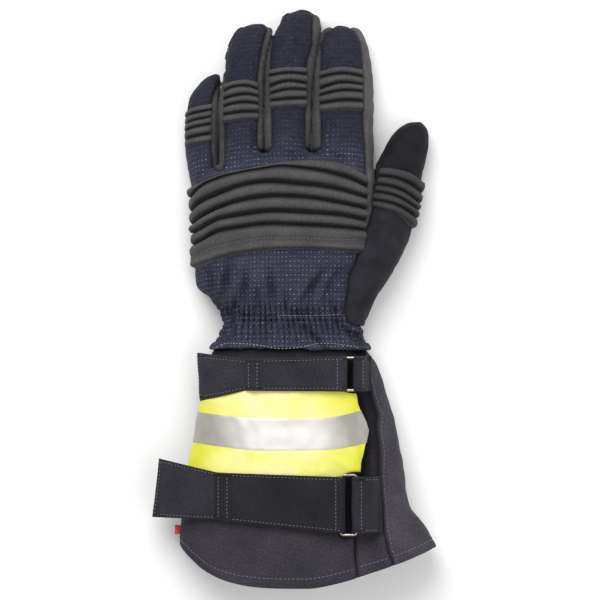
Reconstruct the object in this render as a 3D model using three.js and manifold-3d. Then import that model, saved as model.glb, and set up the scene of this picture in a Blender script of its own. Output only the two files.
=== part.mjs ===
// A firefighter's glove for the left hand, lying palm down on a flat surface.
// Millimetres: +X points to the thumb, +Y to the fingertips and +Z up, out of the back of the hand.
import * as THREE from "three";
import { mergeVertices } from "three/addons/utils/BufferGeometryUtils.js";
import Module from "manifold-3d";

const wasm = await Module();
wasm.setup();

// Driving sizes of the hand
const HAND_LENGTH = 210; // from the wrist elastic to the tip of the middle finger
const HAND_WIDTH = 122; // across the knuckles
const HAND_HEIGHT = 42; // over the knuckles, without the pad
const FINGER_HEIGHT = 29; // middle finger at its root
const THUMB_HEIGHT = 30;
const WALL = 2.6; // outer fabric, membrane and lining together

// Driving sizes of the gauntlet cuff
const CUFF_LENGTH = 171; // from the wrist elastic to the lowest point of the hem
const CUFF_WIDTH = 170; // across the hem
const CUFF_HEIGHT = 55;
const CUFF_WALL = 2;
const GUSSET_DEPTH = 7; // the fold between the back of the cuff and its side panel
const GUSSET_WIDTH = 8;
const GUSSET_LINE = 0.272; // how far right of the middle the fold runs, as a share of CUFF_WIDTH
const GUSSET_BOW = 0.03;
const GUSSET_TO_LEFT = 0.55; // its panel's edges, as shares of GUSSET_WIDTH from the fold
const GUSSET_TO_RIGHT = 0.75;
const GUSSET_SPREAD = 0.14; // how far its right edge turns outwards at the hem, as a share of CUFF_WIDTH
const GUSSET_SPREAD_FROM = 0.66; // between these shares of CUFF_LENGTH
const GUSSET_SPREAD_TO = 1.1;

// Padding, reflective tape and hardware
const PAD_BASE = 1.1;
const PAD_RIB = 2.3; // how far a rib stands above its groove
const FINGER_PAD_RIB = 1.7;
const PAD_EDGE = 0.6; // share of PAD_BASE that is left at a pad's sides
const PAD_EDGE_POWER = 0.3; // how steeply a pad rises from its sides
const RIB_POWER = 0.7; // how full a rib's section is
const PANEL_THICKNESS = 0.9;
const STRIPE_THICKNESS = 0.5;
const STRAP_THICKNESS = 1.5; // one layer of the strap
const RING_WIRE = 2.6;
const RING_WIDTH = 13;
const RING_CORNER = 2.4;
const WRIST_STRAP_WIDTH = 22;
const CUFF_STRAP_WIDTH = 36;
const GATHER_DEPTH = 1.2; // ripples of the gathered wrist
const TAB_LENGTH = 6; // the plain seam tab
const TAB_WIDTH = 5;
const TAB_THICKNESS = 1.2;
const TAB_AT = 0.78; // share of CUFF_LENGTH
const CLEARANCE = 0.4; // between layers that lie on each other
const FLARE_CLEARANCE = 1.1; // between the wrist flare and the cuff inside it
const SEAM_GAP = 0.3; // between panels that are sewn edge to edge

// Cross-sections: the widest point lies at WAIST of the height, with a domed back and a flatter underside
const WAIST = 0.4;
const DOME_POWER = 2.3;
const BELLY_POWER = 3.4;
const FLATTENED = 0.05; // share of the height that is pressed flat by lying on a surface

// The hand from the wrist to the webs between the fingers. at is a share of HAND_LENGTH,
// left and right of HAND_WIDTH, high of HAND_HEIGHT, and dropLeft and dropRight, of HAND_LENGTH,
// say how far a section bends back towards the wrist at its two edges.
const HAND_SECTIONS = [
  { at: -0.066, left: -0.39, right: 0.37, high: 0.88, dropLeft: 0, dropRight: 0 },
  { at: -0.03, left: -0.39, right: 0.37, high: 0.88, dropLeft: 0, dropRight: 0 },
  { at: -0.012, left: -0.386, right: 0.37, high: 0.87, dropLeft: 0, dropRight: 0 },
  { at: 0.006, left: -0.379, right: 0.366, high: 0.86, dropLeft: 0, dropRight: 0 },
  { at: 0.025, left: -0.377, right: 0.347, high: 0.87, dropLeft: 0.002, dropRight: 0 },
  { at: 0.047, left: -0.381, right: 0.327, high: 0.89, dropLeft: 0.006, dropRight: 0 },
  { at: 0.069, left: -0.406, right: 0.312, high: 0.91, dropLeft: 0.01, dropRight: 0 },
  { at: 0.1, left: -0.449, right: 0.314, high: 0.94, dropLeft: 0.016, dropRight: 0.002 },
  { at: 0.132, left: -0.492, right: 0.33, high: 0.96, dropLeft: 0.022, dropRight: 0.003 },
  { at: 0.208, left: -0.525, right: 0.373, high: 0.99, dropLeft: 0.047, dropRight: 0.009 },
  { at: 0.245, left: -0.53, right: 0.39, high: 1, dropLeft: 0.063, dropRight: 0.014 },
  { at: 0.434, left: -0.544, right: 0.433, high: 0.98, dropLeft: 0.069, dropRight: 0.038 },
  { at: 0.481, left: -0.549, right: 0.436, high: 0.94, dropLeft: 0.079, dropRight: 0.044 },
  { at: 0.513, left: -0.557, right: 0.436, high: 0.89, dropLeft: 0.085, dropRight: 0.047 },
  { at: 0.538, left: -0.557, right: 0.434, high: 0.81, dropLeft: 0.085, dropRight: 0.047 },
  { at: 0.55, left: -0.552, right: 0.43, high: 0.71, dropLeft: 0.085, dropRight: 0.047 },
  { at: 0.557, left: -0.54, right: 0.42, high: 0.56, dropLeft: 0.085, dropRight: 0.047 },
];

// Fingers: at is a share of HAND_LENGTH, left and right of HAND_WIDTH, low and high of FINGER_HEIGHT
const PINKY_SECTIONS = [
  { at: 0.4, left: -0.54, right: -0.415, low: -0.03, high: 0.8 },
  { at: 0.512, left: -0.575, right: -0.417, low: -0.03, high: 0.82 },
  { at: 0.64, left: -0.587, right: -0.419, low: 0.03, high: 0.86 },
  { at: 0.685, left: -0.58, right: -0.419, low: 0.03, high: 0.84 },
  { at: 0.736, left: -0.552, right: -0.412, low: 0.02, high: 0.77 },
  { at: 0.761, left: -0.525, right: -0.404, low: 0.05, high: 0.7 },
  { at: 0.78, left: -0.498, right: -0.398, low: 0.1, high: 0.62 },
  { at: 0.792, left: -0.468, right: -0.398, low: 0.16, high: 0.53 },
  { at: 0.801, left: -0.436, right: -0.406, low: 0.25, high: 0.42 },
];
const RING_FINGER_SECTIONS = [
  { at: 0.4, left: -0.39, right: -0.175, low: -0.03, high: 1.1 },
  { at: 0.512, left: -0.401, right: -0.166, low: -0.03, high: 1.05 },
  { at: 0.685, left: -0.402, right: -0.167, low: 0.04, high: 0.98 },
  { at: 0.78, left: -0.384, right: -0.164, low: 0.05, high: 0.95 },
  { at: 0.887, left: -0.352, right: -0.139, low: 0.04, high: 0.87 },
  { at: 0.912, left: -0.335, right: -0.126, low: 0.04, high: 0.82 },
  { at: 0.937, left: -0.303, right: -0.12, low: 0.08, high: 0.72 },
  { at: 0.95, left: -0.265, right: -0.132, low: 0.14, high: 0.62 },
  { at: 0.959, left: -0.222, right: -0.157, low: 0.24, high: 0.48 },
];
const MIDDLE_SECTIONS = [
  { at: 0.4, left: -0.157, right: 0.085, low: -0.03, high: 1.2 },
  { at: 0.512, left: -0.155, right: 0.086, low: -0.03, high: 1.12 },
  { at: 0.717, left: -0.157, right: 0.093, low: 0.05, high: 1 },
  { at: 0.874, left: -0.138, right: 0.122, low: 0.05, high: 0.92 },
  { at: 0.912, left: -0.119, right: 0.136, low: 0.04, high: 0.88 },
  { at: 0.937, left: -0.098, right: 0.141, low: 0.04, high: 0.83 },
  { at: 0.962, left: -0.076, right: 0.14, low: 0.07, high: 0.76 },
  { at: 0.987, left: -0.038, right: 0.119, low: 0.14, high: 0.62 },
  { at: 1, left: 0.035, right: 0.075, low: 0.26, high: 0.46 },
];
const INDEX_SECTIONS = [
  { at: 0.4, left: 0.1, right: 0.4, low: -0.03, high: 0.95 },
  { at: 0.512, left: 0.099, right: 0.422, low: -0.03, high: 1 },
  { at: 0.66, left: 0.103, right: 0.424, low: 0.04, high: 1.02 },
  { at: 0.811, left: 0.117, right: 0.416, low: 0.06, high: 0.97 },
  { at: 0.862, left: 0.127, right: 0.401, low: 0.05, high: 0.93 },
  { at: 0.906, left: 0.143, right: 0.383, low: 0.05, high: 0.86 },
  { at: 0.928, left: 0.152, right: 0.366, low: 0.09, high: 0.77 },
  { at: 0.943, left: 0.182, right: 0.338, low: 0.16, high: 0.63 },
  { at: 0.95, left: 0.225, right: 0.3, low: 0.26, high: 0.48 },
];

// The thumb with the wedge of fabric that carries it down to the wrist; heights are shares of THUMB_HEIGHT
const THUMB_SECTIONS = [
  { at: 0.006, left: 0.2, right: 0.376, low: -0.03, high: 0.9 },
  { at: 0.082, left: 0.22, right: 0.433, low: -0.03, high: 1.05 },
  { at: 0.182, left: 0.27, right: 0.541, low: -0.03, high: 1.15 },
  { at: 0.283, left: 0.335, right: 0.622, low: -0.03, high: 1.12 },
  { at: 0.384, left: 0.395, right: 0.668, low: -0.03, high: 1.03 },
  { at: 0.484, left: 0.433, right: 0.696, low: 0, high: 0.94 },
  { at: 0.535, left: 0.463, right: 0.717, low: 0.02, high: 0.9 },
  { at: 0.585, left: 0.514, right: 0.73, low: 0.03, high: 0.85 },
  { at: 0.61, left: 0.541, right: 0.728, low: 0.04, high: 0.79 },
  { at: 0.632, left: 0.574, right: 0.717, low: 0.09, high: 0.69 },
  { at: 0.648, left: 0.625, right: 0.69, low: 0.2, high: 0.52 },
];

// The cuff from under the wrist flare to the hem. at is a share of CUFF_LENGTH, left and right of
// CUFF_WIDTH and high of CUFF_HEIGHT. bow, of CUFF_LENGTH, says how far the middle of a section runs
// ahead of its edges.
const CUFF_SECTIONS = [
  { at: 0.035, left: -0.262, right: 0.243, high: 0.6, bow: 0 },
  { at: 0.081, left: -0.309, right: 0.277, high: 0.72, bow: 0.008 },
  { at: 0.124, left: -0.328, right: 0.307, high: 0.77, bow: 0.015 },
  { at: 0.2, left: -0.342, right: 0.339, high: 0.82, bow: 0.02 },
  { at: 0.3, left: -0.357, right: 0.374, high: 0.87, bow: 0.025 },
  { at: 0.365, left: -0.367, right: 0.392, high: 0.895, bow: 0.027 },
  { at: 0.435, left: -0.38, right: 0.406, high: 0.92, bow: 0.03 },
  { at: 0.545, left: -0.404, right: 0.426, high: 0.95, bow: 0.05 },
  { at: 0.63, left: -0.42, right: 0.437, high: 0.97, bow: 0.075 },
  { at: 0.7, left: -0.431, right: 0.453, high: 0.985, bow: 0.1 },
  { at: 0.77, left: -0.437, right: 0.512, high: 1, bow: 0.127 },
  { at: 0.845, left: -0.441, right: 0.556, high: 1.01, bow: 0.155 },
];
const HEM_POWER_LEFT = 3; // how squarely the hem turns at its left and right corners
const HEM_POWER_RIGHT = 1.7;

// Creases pressed into the back of the hand: two ends, as shares of HAND_WIDTH and HAND_LENGTH, with
// their depth and width in mm
const CREASES = [
  { fromX: 0.14, fromY: 0.167, toX: 0.043, toY: 0.079, depth: 2.2, width: 3.5 },
  { fromX: 0.06, fromY: 0.01, toX: 0.15, toY: -0.04, depth: 1.6, width: 3 },
  { fromX: -0.29, fromY: 0.104, toX: -0.2, toY: 0.05, depth: 1.4, width: 4 },
];

// The gusset fold is deepest at these shares of CUFF_LENGTH
const GUSSET_FOLDS = [
  { at: 0.42, reach: 0.2, share: 1 },
  { at: 0.88, reach: 0.12, share: 0.35 },
];

const GATHER_CENTRE = 0.02; // the elastic, as a share of HAND_LENGTH above the wrist line
const GATHER_SPREAD = 0.035;
const FLARE_TOP = 0.006; // where the flare over the cuff leaves the wrist, as a share of HAND_LENGTH

// Where the side seams run, as shares of a section's height
const SEAM_HIGH = 0.81;
const SEAM_LOW = 0.17;
const BELLY_SEAM = 0.2;
const THUMB_SEAM = 0.36;
const CUFF_SEAM = 0.3;
const WRIST_SIDE_SEAM = 0.6; // the top of the index finger's side strip where it ends at the wrist
const HAND_SIDE_SEAM = 0.84; // and at the knuckles

// Where fingers join the hand, as shares of HAND_LENGTH
const FINGER_ROOT = 0.5;
const FINGER_FREE = 0.6;
const PAST_FINGERS = 1.05;
const SIDE_STRIP_FROM = 0.05;
const SIDE_STRIP_FULL = 0.4;
const HAND_END = -0.1; // beyond the lower edge of the wrist flare

// Grooves between the ribs of a pad, as shares of its length from the wrist side
const KNUCKLE_GROOVES = [0, 0.112, 0.274, 0.413, 0.587, 0.726, 0.9, 1];
const FINGER_GROOVES = [0, 0.23, 0.4, 0.56, 0.75, 1];
const THUMB_GROOVES = [0, 0.2, 0.38, 0.56, 0.75, 1];

// Pads of the fingers: from and to are shares of HAND_LENGTH, and so is bow, which arches their edges.
// leftEdge is the angle of a pad's left edge round the finger, in half turns from its right side.
const FINGER_PADS = [
  { name: "pinky_pad", finger: "pinky", from: 0.565, to: 0.688, bow: 0.012, leftEdge: 0.99 },
  { name: "ring_finger_pad", finger: "ring", from: 0.64, to: 0.775, bow: 0.014, leftEdge: 0.77 },
  { name: "middle_finger_pad", finger: "middle", from: 0.685, to: 0.818, bow: 0.01, leftEdge: 0.77 },
  { name: "index_finger_pad", finger: "index", from: 0.68, to: 0.815, bow: 0.008, leftEdge: 0.77 },
];
const FINGER_PAD_RIGHT = 0.235;
const KNUCKLE_PAD_FROM = 0.245;
const KNUCKLE_PAD_TO = 0.526;
const KNUCKLE_PAD_ANGLES = [0.24, 1.03]; // its right and left edges, in half turns
const THUMB_PAD_FROM = 0.36;
const THUMB_PAD_TO = 0.478;
const THUMB_PAD_ANGLES = [0.04, 0.72];
const THUMB_PAD_SLANT = 0.045; // how much lower the pad's outer end lies than its inner end

// Straps. The stations run from the tab to the ring: at is a share of CUFF_WIDTH, middle of CUFF_LENGTH
// and width of the strap's own width. leaves is where the tab lifts off the cuff, also a share of
// CUFF_WIDTH, and tabDrop how steeply it falls.
const STRAPS = [
  {
    name: "wrist_strap",
    ring: "wrist_ring",
    anchor: "wrist_ring_anchor",
    width: WRIST_STRAP_WIDTH,
    stations: [
      { at: -0.365, middle: 0.189, width: 1.44 },
      { at: -0.19, middle: 0.18, width: 0.95 },
      { at: 0.187, middle: 0.176, width: 1.05 },
    ],
    leaves: -0.3,
    tabDrop: 1.1,
    anchorEnd: 0.299,
  },
  {
    name: "cuff_strap",
    ring: "cuff_ring",
    anchor: "cuff_ring_anchor",
    width: CUFF_STRAP_WIDTH,
    stations: [
      { at: -0.55, middle: 0.614, width: 1.1 },
      { at: -0.299, middle: 0.645, width: 0.86 },
      { at: 0.18, middle: 0.678, width: 1.02 },
    ],
    leaves: -0.33,
    tabDrop: 0.5,
    anchorEnd: 0.34,
  },
];

// The reflective panel and the stripe along it, as shares of CUFF_LENGTH
const PANEL_FROM = 0.2;
const PANEL_TO = 0.545;
const STRIPE_FROM = 0.3;
const STRIPE_TO = 0.435;
const PANEL_FIRST_CORNER = 4; // the corner of the cuff's section at the panel's right edge

// Mesh resolution
const HAND_SIDES = 24;
const CUFF_SIDES = 28;
const FINGER_SIDES = 12;
const THUMB_SIDES = 14;
const INNER_SIDES = 8;
const RIB_ROWS = 3;
const FLARE_ROWS = 3; // rows of the hand that lie over the cuff
const WIRE_SIDES = 6;

// A solid from a geometry of shared vertices, turned so that its faces point out
function solidOf(geometry) {
  const merged = mergeVertices(geometry, 1e-4);
  const vertProperties = merged.attributes.position.array;
  const triVerts = Uint32Array.from(merged.index.array);
  const make = () => new wasm.Manifold(new wasm.Mesh({ numProp: 3, vertProperties, triVerts }));
  const made = make();
  if (made.volume() > 0) return made;
  for (let i = 0; i < triVerts.length; i += 3) {
    [triVerts[i + 1], triVerts[i + 2]] = [triVerts[i + 2], triVerts[i + 1]];
  }
  return make();
}

// A solid from a list of Vector3 and a flat list of their numbers, three for each face
function solidFrom(points, faces) {
  const geometry = new THREE.BufferGeometry().setFromPoints(points);
  geometry.setIndex(faces);
  return solidOf(geometry);
}

// A solid through a row of closed rings with as many points each, capped with a fan at both ends
function loft(rings) {
  const points = rings.flat();
  const count = rings[0].length;
  const faces = [];
  for (let r = 0; r + 1 < rings.length; r++) {
    for (let i = 0; i < count; i++) {
      const a = r * count + i;
      const b = r * count + ((i + 1) % count);
      faces.push(a, b, b + count, a, b + count, a + count);
    }
  }
  for (const [ring, turned] of [[0, true], [rings.length - 1, false]]) {
    const centre = new THREE.Vector3();
    rings[ring].forEach((p) => centre.addScaledVector(p, 1 / count));
    const tip = points.push(centre) - 1;
    for (let i = 0; i < count; i++) {
      const a = ring * count + i;
      const b = ring * count + ((i + 1) % count);
      faces.push(...(turned ? [b, a, tip] : [a, b, tip]));
    }
  }
  return solidFrom(points, faces);
}

// A solid between two grids of points with as many rows and columns each
function slab(upper, lower) {
  const rows = upper.length;
  const columns = upper[0].length;
  const points = [...upper.flat(), ...lower.flat()];
  const under = rows * columns;
  const faces = [];
  const quad = (a, b, c, d) => faces.push(a, b, c, a, c, d);
  for (let r = 0; r + 1 < rows; r++) {
    for (let c = 0; c + 1 < columns; c++) {
      const a = r * columns + c;
      quad(a, a + 1, a + 1 + columns, a + columns);
      quad(under + a, under + a + columns, under + a + 1 + columns, under + a + 1);
    }
    const left = r * columns;
    const right = left + columns - 1;
    quad(left, left + columns, under + left + columns, under + left);
    quad(right + columns, right, under + right, under + right + columns);
  }
  for (let c = 0; c + 1 < columns; c++) {
    const far = (rows - 1) * columns + c;
    quad(c + 1, c, under + c, under + c + 1);
    quad(far, far + 1, under + far + 1, under + far);
  }
  return solidFrom(points, faces);
}

// The largest piece of a cut solid, without the crumbs that a cut can leave
function largest(solid) {
  const pieces = solid.decompose();
  return pieces.reduce((best, piece) => (piece.volume() > best.volume() ? piece : best));
}

const mix = (a, b, t) => a + (b - a) * t;
const signedPower = (value, power) => Math.sign(value) * Math.abs(value) ** power;
const spaced = (from, to, steps) => Array.from({ length: steps + 1 }, (_, i) => mix(from, to, i / steps));

// The row of a table at a given value of its column at, worked out between its neighbours
function rowAt(table, at) {
  let i = 0;
  while (i + 2 < table.length && table[i + 1].at < at) i++;
  const [a, b] = [table[i], table[i + 1]];
  const t = THREE.MathUtils.clamp((at - a.at) / (b.at - a.at), 0, 1);
  return Object.fromEntries(Object.keys(a).map((key) => [key, mix(a[key], b[key], t)]));
}

// A form is a tube along Y. section(at) gives left, right, low, high and y, bend(row, q) the shift along
// Y at the share q across, and dent(x, y) how far its back is pressed in.
function formPoint(form, at, angle, lift, ripple = 0) {
  const row = form.section(at);
  const cosine = Math.cos(angle);
  const sine = Math.sin(angle);
  const power = 2 / (sine > 0 ? DOME_POWER : BELLY_POWER);
  const q = signedPower(cosine, power);
  const waist = mix(row.low, row.high, WAIST);
  const reach = sine > 0 ? row.high - waist : waist - row.low;
  const outline = (row.left + row.right) / 2 + ((row.right - row.left) / 2) * q;
  const x = outline + (lift + ripple) * q;
  const y = row.y + form.bend(row, q);
  const pressed = sine > 0 ? form.dent(outline, y) * Math.min(1, 2 * sine) : 0;
  const z = waist + (reach + lift + ripple) * signedPower(sine, power) - pressed;
  return new THREE.Vector3(x, y, z);
}

const cuffTopEdge = -CUFF_SECTIONS[0].at * CUFF_LENGTH;
const noDent = () => 0;
const noBend = () => 0;

function handDent(x, y) {
  let depth = 0;
  for (const crease of CREASES) {
    const from = new THREE.Vector2(crease.fromX * HAND_WIDTH, crease.fromY * HAND_LENGTH);
    const along = new THREE.Vector2(crease.toX * HAND_WIDTH, crease.toY * HAND_LENGTH).sub(from);
    const toPoint = new THREE.Vector2(x, y).sub(from);
    const t = THREE.MathUtils.clamp(toPoint.dot(along) / along.lengthSq(), 0, 1);
    const away = toPoint.addScaledVector(along, -t).length();
    depth += crease.depth * Math.exp(-((away / crease.width) ** 2));
  }
  return depth;
}

const hand = {
  rows: HAND_SECTIONS.map((row) => row.at),
  section(at) {
    const row = rowAt(HAND_SECTIONS, at);
    const y = row.at * HAND_LENGTH;
    const under = cuff.section(-y / CUFF_LENGTH);
    const over = WALL + FLARE_CLEARANCE;
    const overLow = (over * WAIST) / (1 - WAIST);
    const t = THREE.MathUtils.smoothstep(y, cuffTopEdge, FLARE_TOP * HAND_LENGTH);
    const low = -FLATTENED * HAND_HEIGHT;
    return {
      ...row,
      y,
      left: mix(under.left - over, row.left * HAND_WIDTH, t),
      right: mix(under.right + over, row.right * HAND_WIDTH, t),
      low: mix(under.low - overLow, low, t),
      settledLow: mix(under.low - overLow, 0, t),
      high: mix(under.high + over, row.high * HAND_HEIGHT, t),
    };
  },
  bend: (row, q) => -(q < 0 ? row.dropLeft : row.dropRight) * HAND_LENGTH * q * q,
  dent: handDent,
};

function digit(table, height) {
  return {
    rows: table.map((row) => row.at),
    section(at) {
      const row = rowAt(table, at);
      return {
        y: row.at * HAND_LENGTH,
        left: row.left * HAND_WIDTH,
        right: row.right * HAND_WIDTH,
        low: row.low * height,
        high: row.high * height,
      };
    },
    bend: noBend,
    dent: noDent,
  };
}

const fingers = {
  pinky: digit(PINKY_SECTIONS, FINGER_HEIGHT),
  ring: digit(RING_FINGER_SECTIONS, FINGER_HEIGHT),
  middle: digit(MIDDLE_SECTIONS, FINGER_HEIGHT),
  index: digit(INDEX_SECTIONS, FINGER_HEIGHT),
};
const thumb = digit(THUMB_SECTIONS, THUMB_HEIGHT);

// The line of the gusset fold across the cuff
function gussetX(y) {
  const along = THREE.MathUtils.clamp(-y / CUFF_LENGTH, 0, 1);
  return CUFF_WIDTH * (GUSSET_LINE + GUSSET_BOW * Math.sin(Math.PI * along));
}

function cuffDent(x, y) {
  const along = -y / CUFF_LENGTH;
  const strength = GUSSET_FOLDS.reduce(
    (sum, fold) => sum + fold.share * Math.exp(-(((along - fold.at) / fold.reach) ** 2)),
    0,
  );
  return GUSSET_DEPTH * strength * Math.exp(-(((x - gussetX(y)) / GUSSET_WIDTH) ** 2));
}

const cuff = {
  rows: CUFF_SECTIONS.map((row) => row.at),
  section(at) {
    const row = rowAt(CUFF_SECTIONS, at);
    return {
      ...row,
      y: -row.at * CUFF_LENGTH,
      left: row.left * CUFF_WIDTH,
      right: row.right * CUFF_WIDTH,
      low: -FLATTENED * CUFF_HEIGHT,
      high: row.high * CUFF_HEIGHT,
    };
  },
  bend(row, q) {
    const power = q < 0 ? HEM_POWER_LEFT : HEM_POWER_RIGHT;
    return -row.bow * CUFF_LENGTH * (1 - Math.abs(q) ** power);
  },
  dent: cuffDent,
};

// The height of the cuff's back at a point seen from above, without the gusset fold
function cuffTop(x, y) {
  let at = -y / CUFF_LENGTH;
  let row = cuff.section(at);
  let q = 0;
  for (let i = 0; i < 6; i++) {
    q = THREE.MathUtils.clamp((2 * x - row.left - row.right) / (row.right - row.left), -1, 1);
    at = (-y + cuff.bend(row, q)) / CUFF_LENGTH;
    row = cuff.section(at);
  }
  const waist = mix(row.low, row.high, WAIST);
  return waist + (row.high - waist) * (1 - Math.abs(q) ** DOME_POWER) ** (1 / DOME_POWER);
}

// A tube from a form: one ring for each of its rows, grown or shrunk by lift
function tube(form, sides, lift, { rows = form.rows, ripple = () => 0 } = {}) {
  return loft(
    rows.map((at) =>
      spaced(0, 2 * Math.PI, sides)
        .slice(0, -1)
        .map((angle, i) => formPoint(form, at, angle, lift, ripple(at, i))),
    ),
  );
}

// Every other row of a form, moved to lie inside its end wall
function innerRows(form, wall) {
  const last = form.rows.length - 1;
  const [first, end] = [form.rows[0], form.rows[last]];
  const kept = form.rows.filter((_, i) => i === last || i % 2 === 0);
  return kept.map((at) => mix(first, end - wall / HAND_LENGTH, (at - first) / (end - first)));
}

// A form whose underside lies on the table, so that a shrunk copy leaves the whole wall under it
const settled = (form) => ({
  ...form,
  section(at) {
    const row = form.section(at);
    return { ...row, low: row.settledLow ?? Math.max(row.low, 0) };
  },
});

// A block that reaches between two lines x(y) and two heights z(y)
function block(ys, left, right, low, high) {
  const row = (y, height) => [left(y), right(y)].map((x) => new THREE.Vector3(x, y, height(x, y)));
  const grid = (height) => ys.map((y) => row(y, height));
  return slab(grid(high), grid(low));
}

const FAR = 2 * (HAND_LENGTH + CUFF_LENGTH);
const belowTable = block([-FAR, FAR], () => -FAR, () => FAR, () => -FAR, () => 0);
const onTable = (solid) => solid.subtract(belowTable);

// The outside and the hollow of the hand
const gather = (at, i) =>
  GATHER_DEPTH * (i % 2 ? 1 : -1) * Math.exp(-(((at - GATHER_CENTRE) / GATHER_SPREAD) ** 2));
const fingerForms = Object.values(fingers);

function handOutside(lift) {
  const body = tube(hand, HAND_SIDES, lift, { ripple: gather });
  return fingerForms.reduce((sum, form) => sum.add(tube(form, FINGER_SIDES, lift)), body);
}

function innerTube(form) {
  return tube(settled(form), INNER_SIDES, -WALL, { rows: innerRows(form, WALL) });
}

function handInside() {
  const last = hand.rows[hand.rows.length - 1];
  const kept = hand.rows.filter((at, i) => i <= FLARE_ROWS || i % 2 === 0 || at === last);
  const wall = WALL / HAND_LENGTH;
  const rows = [hand.rows[0] - wall, ...kept.map((at) => Math.min(at, last - wall))];
  const open = { ...hand, section: (at) => ({ ...hand.section(at), y: at * HAND_LENGTH }) };
  const body = tube(settled(open), HAND_SIDES, -WALL, { rows });
  return fingerForms.reduce((sum, form) => sum.add(innerTube(form)), body);
}

const handOuter = handOutside(0);
const handInner = handInside();
const thumbInner = innerTube(thumb);
const handShell = onTable(handOuter.subtract(handInner).subtract(thumbInner));

// The band of side wall between the back and the palm, from one finger's middle line to the next one's
const middleX = (form, y) => {
  const row = form.section(y / HAND_LENGTH);
  return (row.left + row.right) / 2;
};
const topOf = (form, y) => form.section(y / HAND_LENGTH).high;

function seamBand(leftForm, rightForm, from, grow) {
  const ys = spaced(from * HAND_LENGTH, PAST_FINGERS * HAND_LENGTH, 8);
  const columns = (y) => {
    const a = leftForm.section(y / HAND_LENGTH);
    const b = rightForm.section(y / HAND_LENGTH);
    const line = (x, form) => ({ x, form });
    return [
      line(middleX(leftForm, y) - grow, leftForm),
      line(a.right, leftForm),
      line(b.left, rightForm),
      line(middleX(rightForm, y) + grow, rightForm),
    ];
  };
  const grid = (share, shift) =>
    ys.map((y) => columns(y).map(({ x, form }) => new THREE.Vector3(x, y, share * topOf(form, y) + shift)));
  return slab(grid(SEAM_HIGH, grow), grid(SEAM_LOW, -grow));
}

const WEBS = [
  { name: "fourchette_pinky_ring", left: fingers.pinky, right: fingers.ring, from: 0.49 },
  { name: "fourchette_ring_middle", left: fingers.ring, right: fingers.middle, from: 0.532 },
  { name: "fourchette_middle_index", left: fingers.middle, right: fingers.index, from: 0.532 },
];

// The outer side of the index finger, whose strip runs down the edge of the hand and thins out at the wrist
function outerBand(grow) {
  const along = (y, from, to) => THREE.MathUtils.smoothstep(y / HAND_LENGTH, from, to);
  const inFinger = (y) => along(y, FINGER_ROOT, FINGER_FREE);
  const high = (y) => {
    const share = mix(WRIST_SIDE_SEAM, HAND_SIDE_SEAM, along(y, SIDE_STRIP_FROM, SIDE_STRIP_FULL));
    return mix(share * topOf(hand, y), SEAM_HIGH * topOf(fingers.index, y), inFinger(y));
  };
  const low = (y) => mix(BELLY_SEAM * HAND_HEIGHT, SEAM_LOW * topOf(fingers.index, y), inFinger(y));
  return block(
    spaced(SIDE_STRIP_FROM * HAND_LENGTH, PAST_FINGERS * HAND_LENGTH, 12),
    (y) => middleX(fingers.index, Math.max(y, SIDE_STRIP_FULL * HAND_LENGTH)) - grow,
    () => HAND_WIDTH,
    (_, y) => low(y) - grow,
    (_, y) => high(y) + grow,
  );
}

// Everything under the lower seam, which belongs to the palm
function bellyBlock(grow) {
  const ys = spaced(HAND_END * HAND_LENGTH, PAST_FINGERS * HAND_LENGTH, 10);
  const seam = (y) => {
    const t = THREE.MathUtils.smoothstep(y / HAND_LENGTH, FINGER_ROOT, FINGER_FREE);
    return mix(BELLY_SEAM * HAND_HEIGHT, SEAM_LOW * FINGER_HEIGHT, t);
  };
  return block(ys, () => -HAND_WIDTH, () => HAND_WIDTH, () => -HAND_HEIGHT, (_, y) => seam(y) + grow);
}

const half = SEAM_GAP / 2;
const aheadOfCuff = block([cuffTopEdge + SEAM_GAP, FAR], () => -FAR, () => FAR, () => -FAR, () => FAR);
const palmShell = largest(handShell.intersect(bellyBlock(-half)).intersect(aheadOfCuff));
const aboveBelly = handShell.subtract(bellyBlock(half));
const fourchettes = WEBS.map((web) =>
  largest(aboveBelly.intersect(seamBand(web.left, web.right, web.from, -half))),
);
const indexSide = largest(aboveBelly.intersect(outerBand(-half)));
const bands = WEBS.map((web) => seamBand(web.left, web.right, web.from - SEAM_GAP / HAND_LENGTH, half));
const allBands = [...bands, outerBand(half)];
const backShell = largest(allBands.reduce((rest, band) => rest.subtract(band), aboveBelly));

// The thumb, in a front and a back panel
const handOuterGrown = handOutside(SEAM_GAP);
const thumbShell = onTable(tube(thumb, THUMB_SIDES, 0).subtract(thumbInner).subtract(handOuterGrown));
const thumbSeam = (grow) =>
  block(
    spaced(HAND_END * HAND_LENGTH, FINGER_FREE * HAND_LENGTH + THUMB_HEIGHT, 8),
    () => -HAND_WIDTH,
    () => HAND_WIDTH,
    () => -HAND_HEIGHT,
    (_, y) => THUMB_SEAM * topOf(thumb, y) + grow,
  );
const thumbPalm = largest(thumbShell.intersect(thumbSeam(-half)));
const thumbBack = largest(thumbShell.subtract(thumbSeam(half)));

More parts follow.
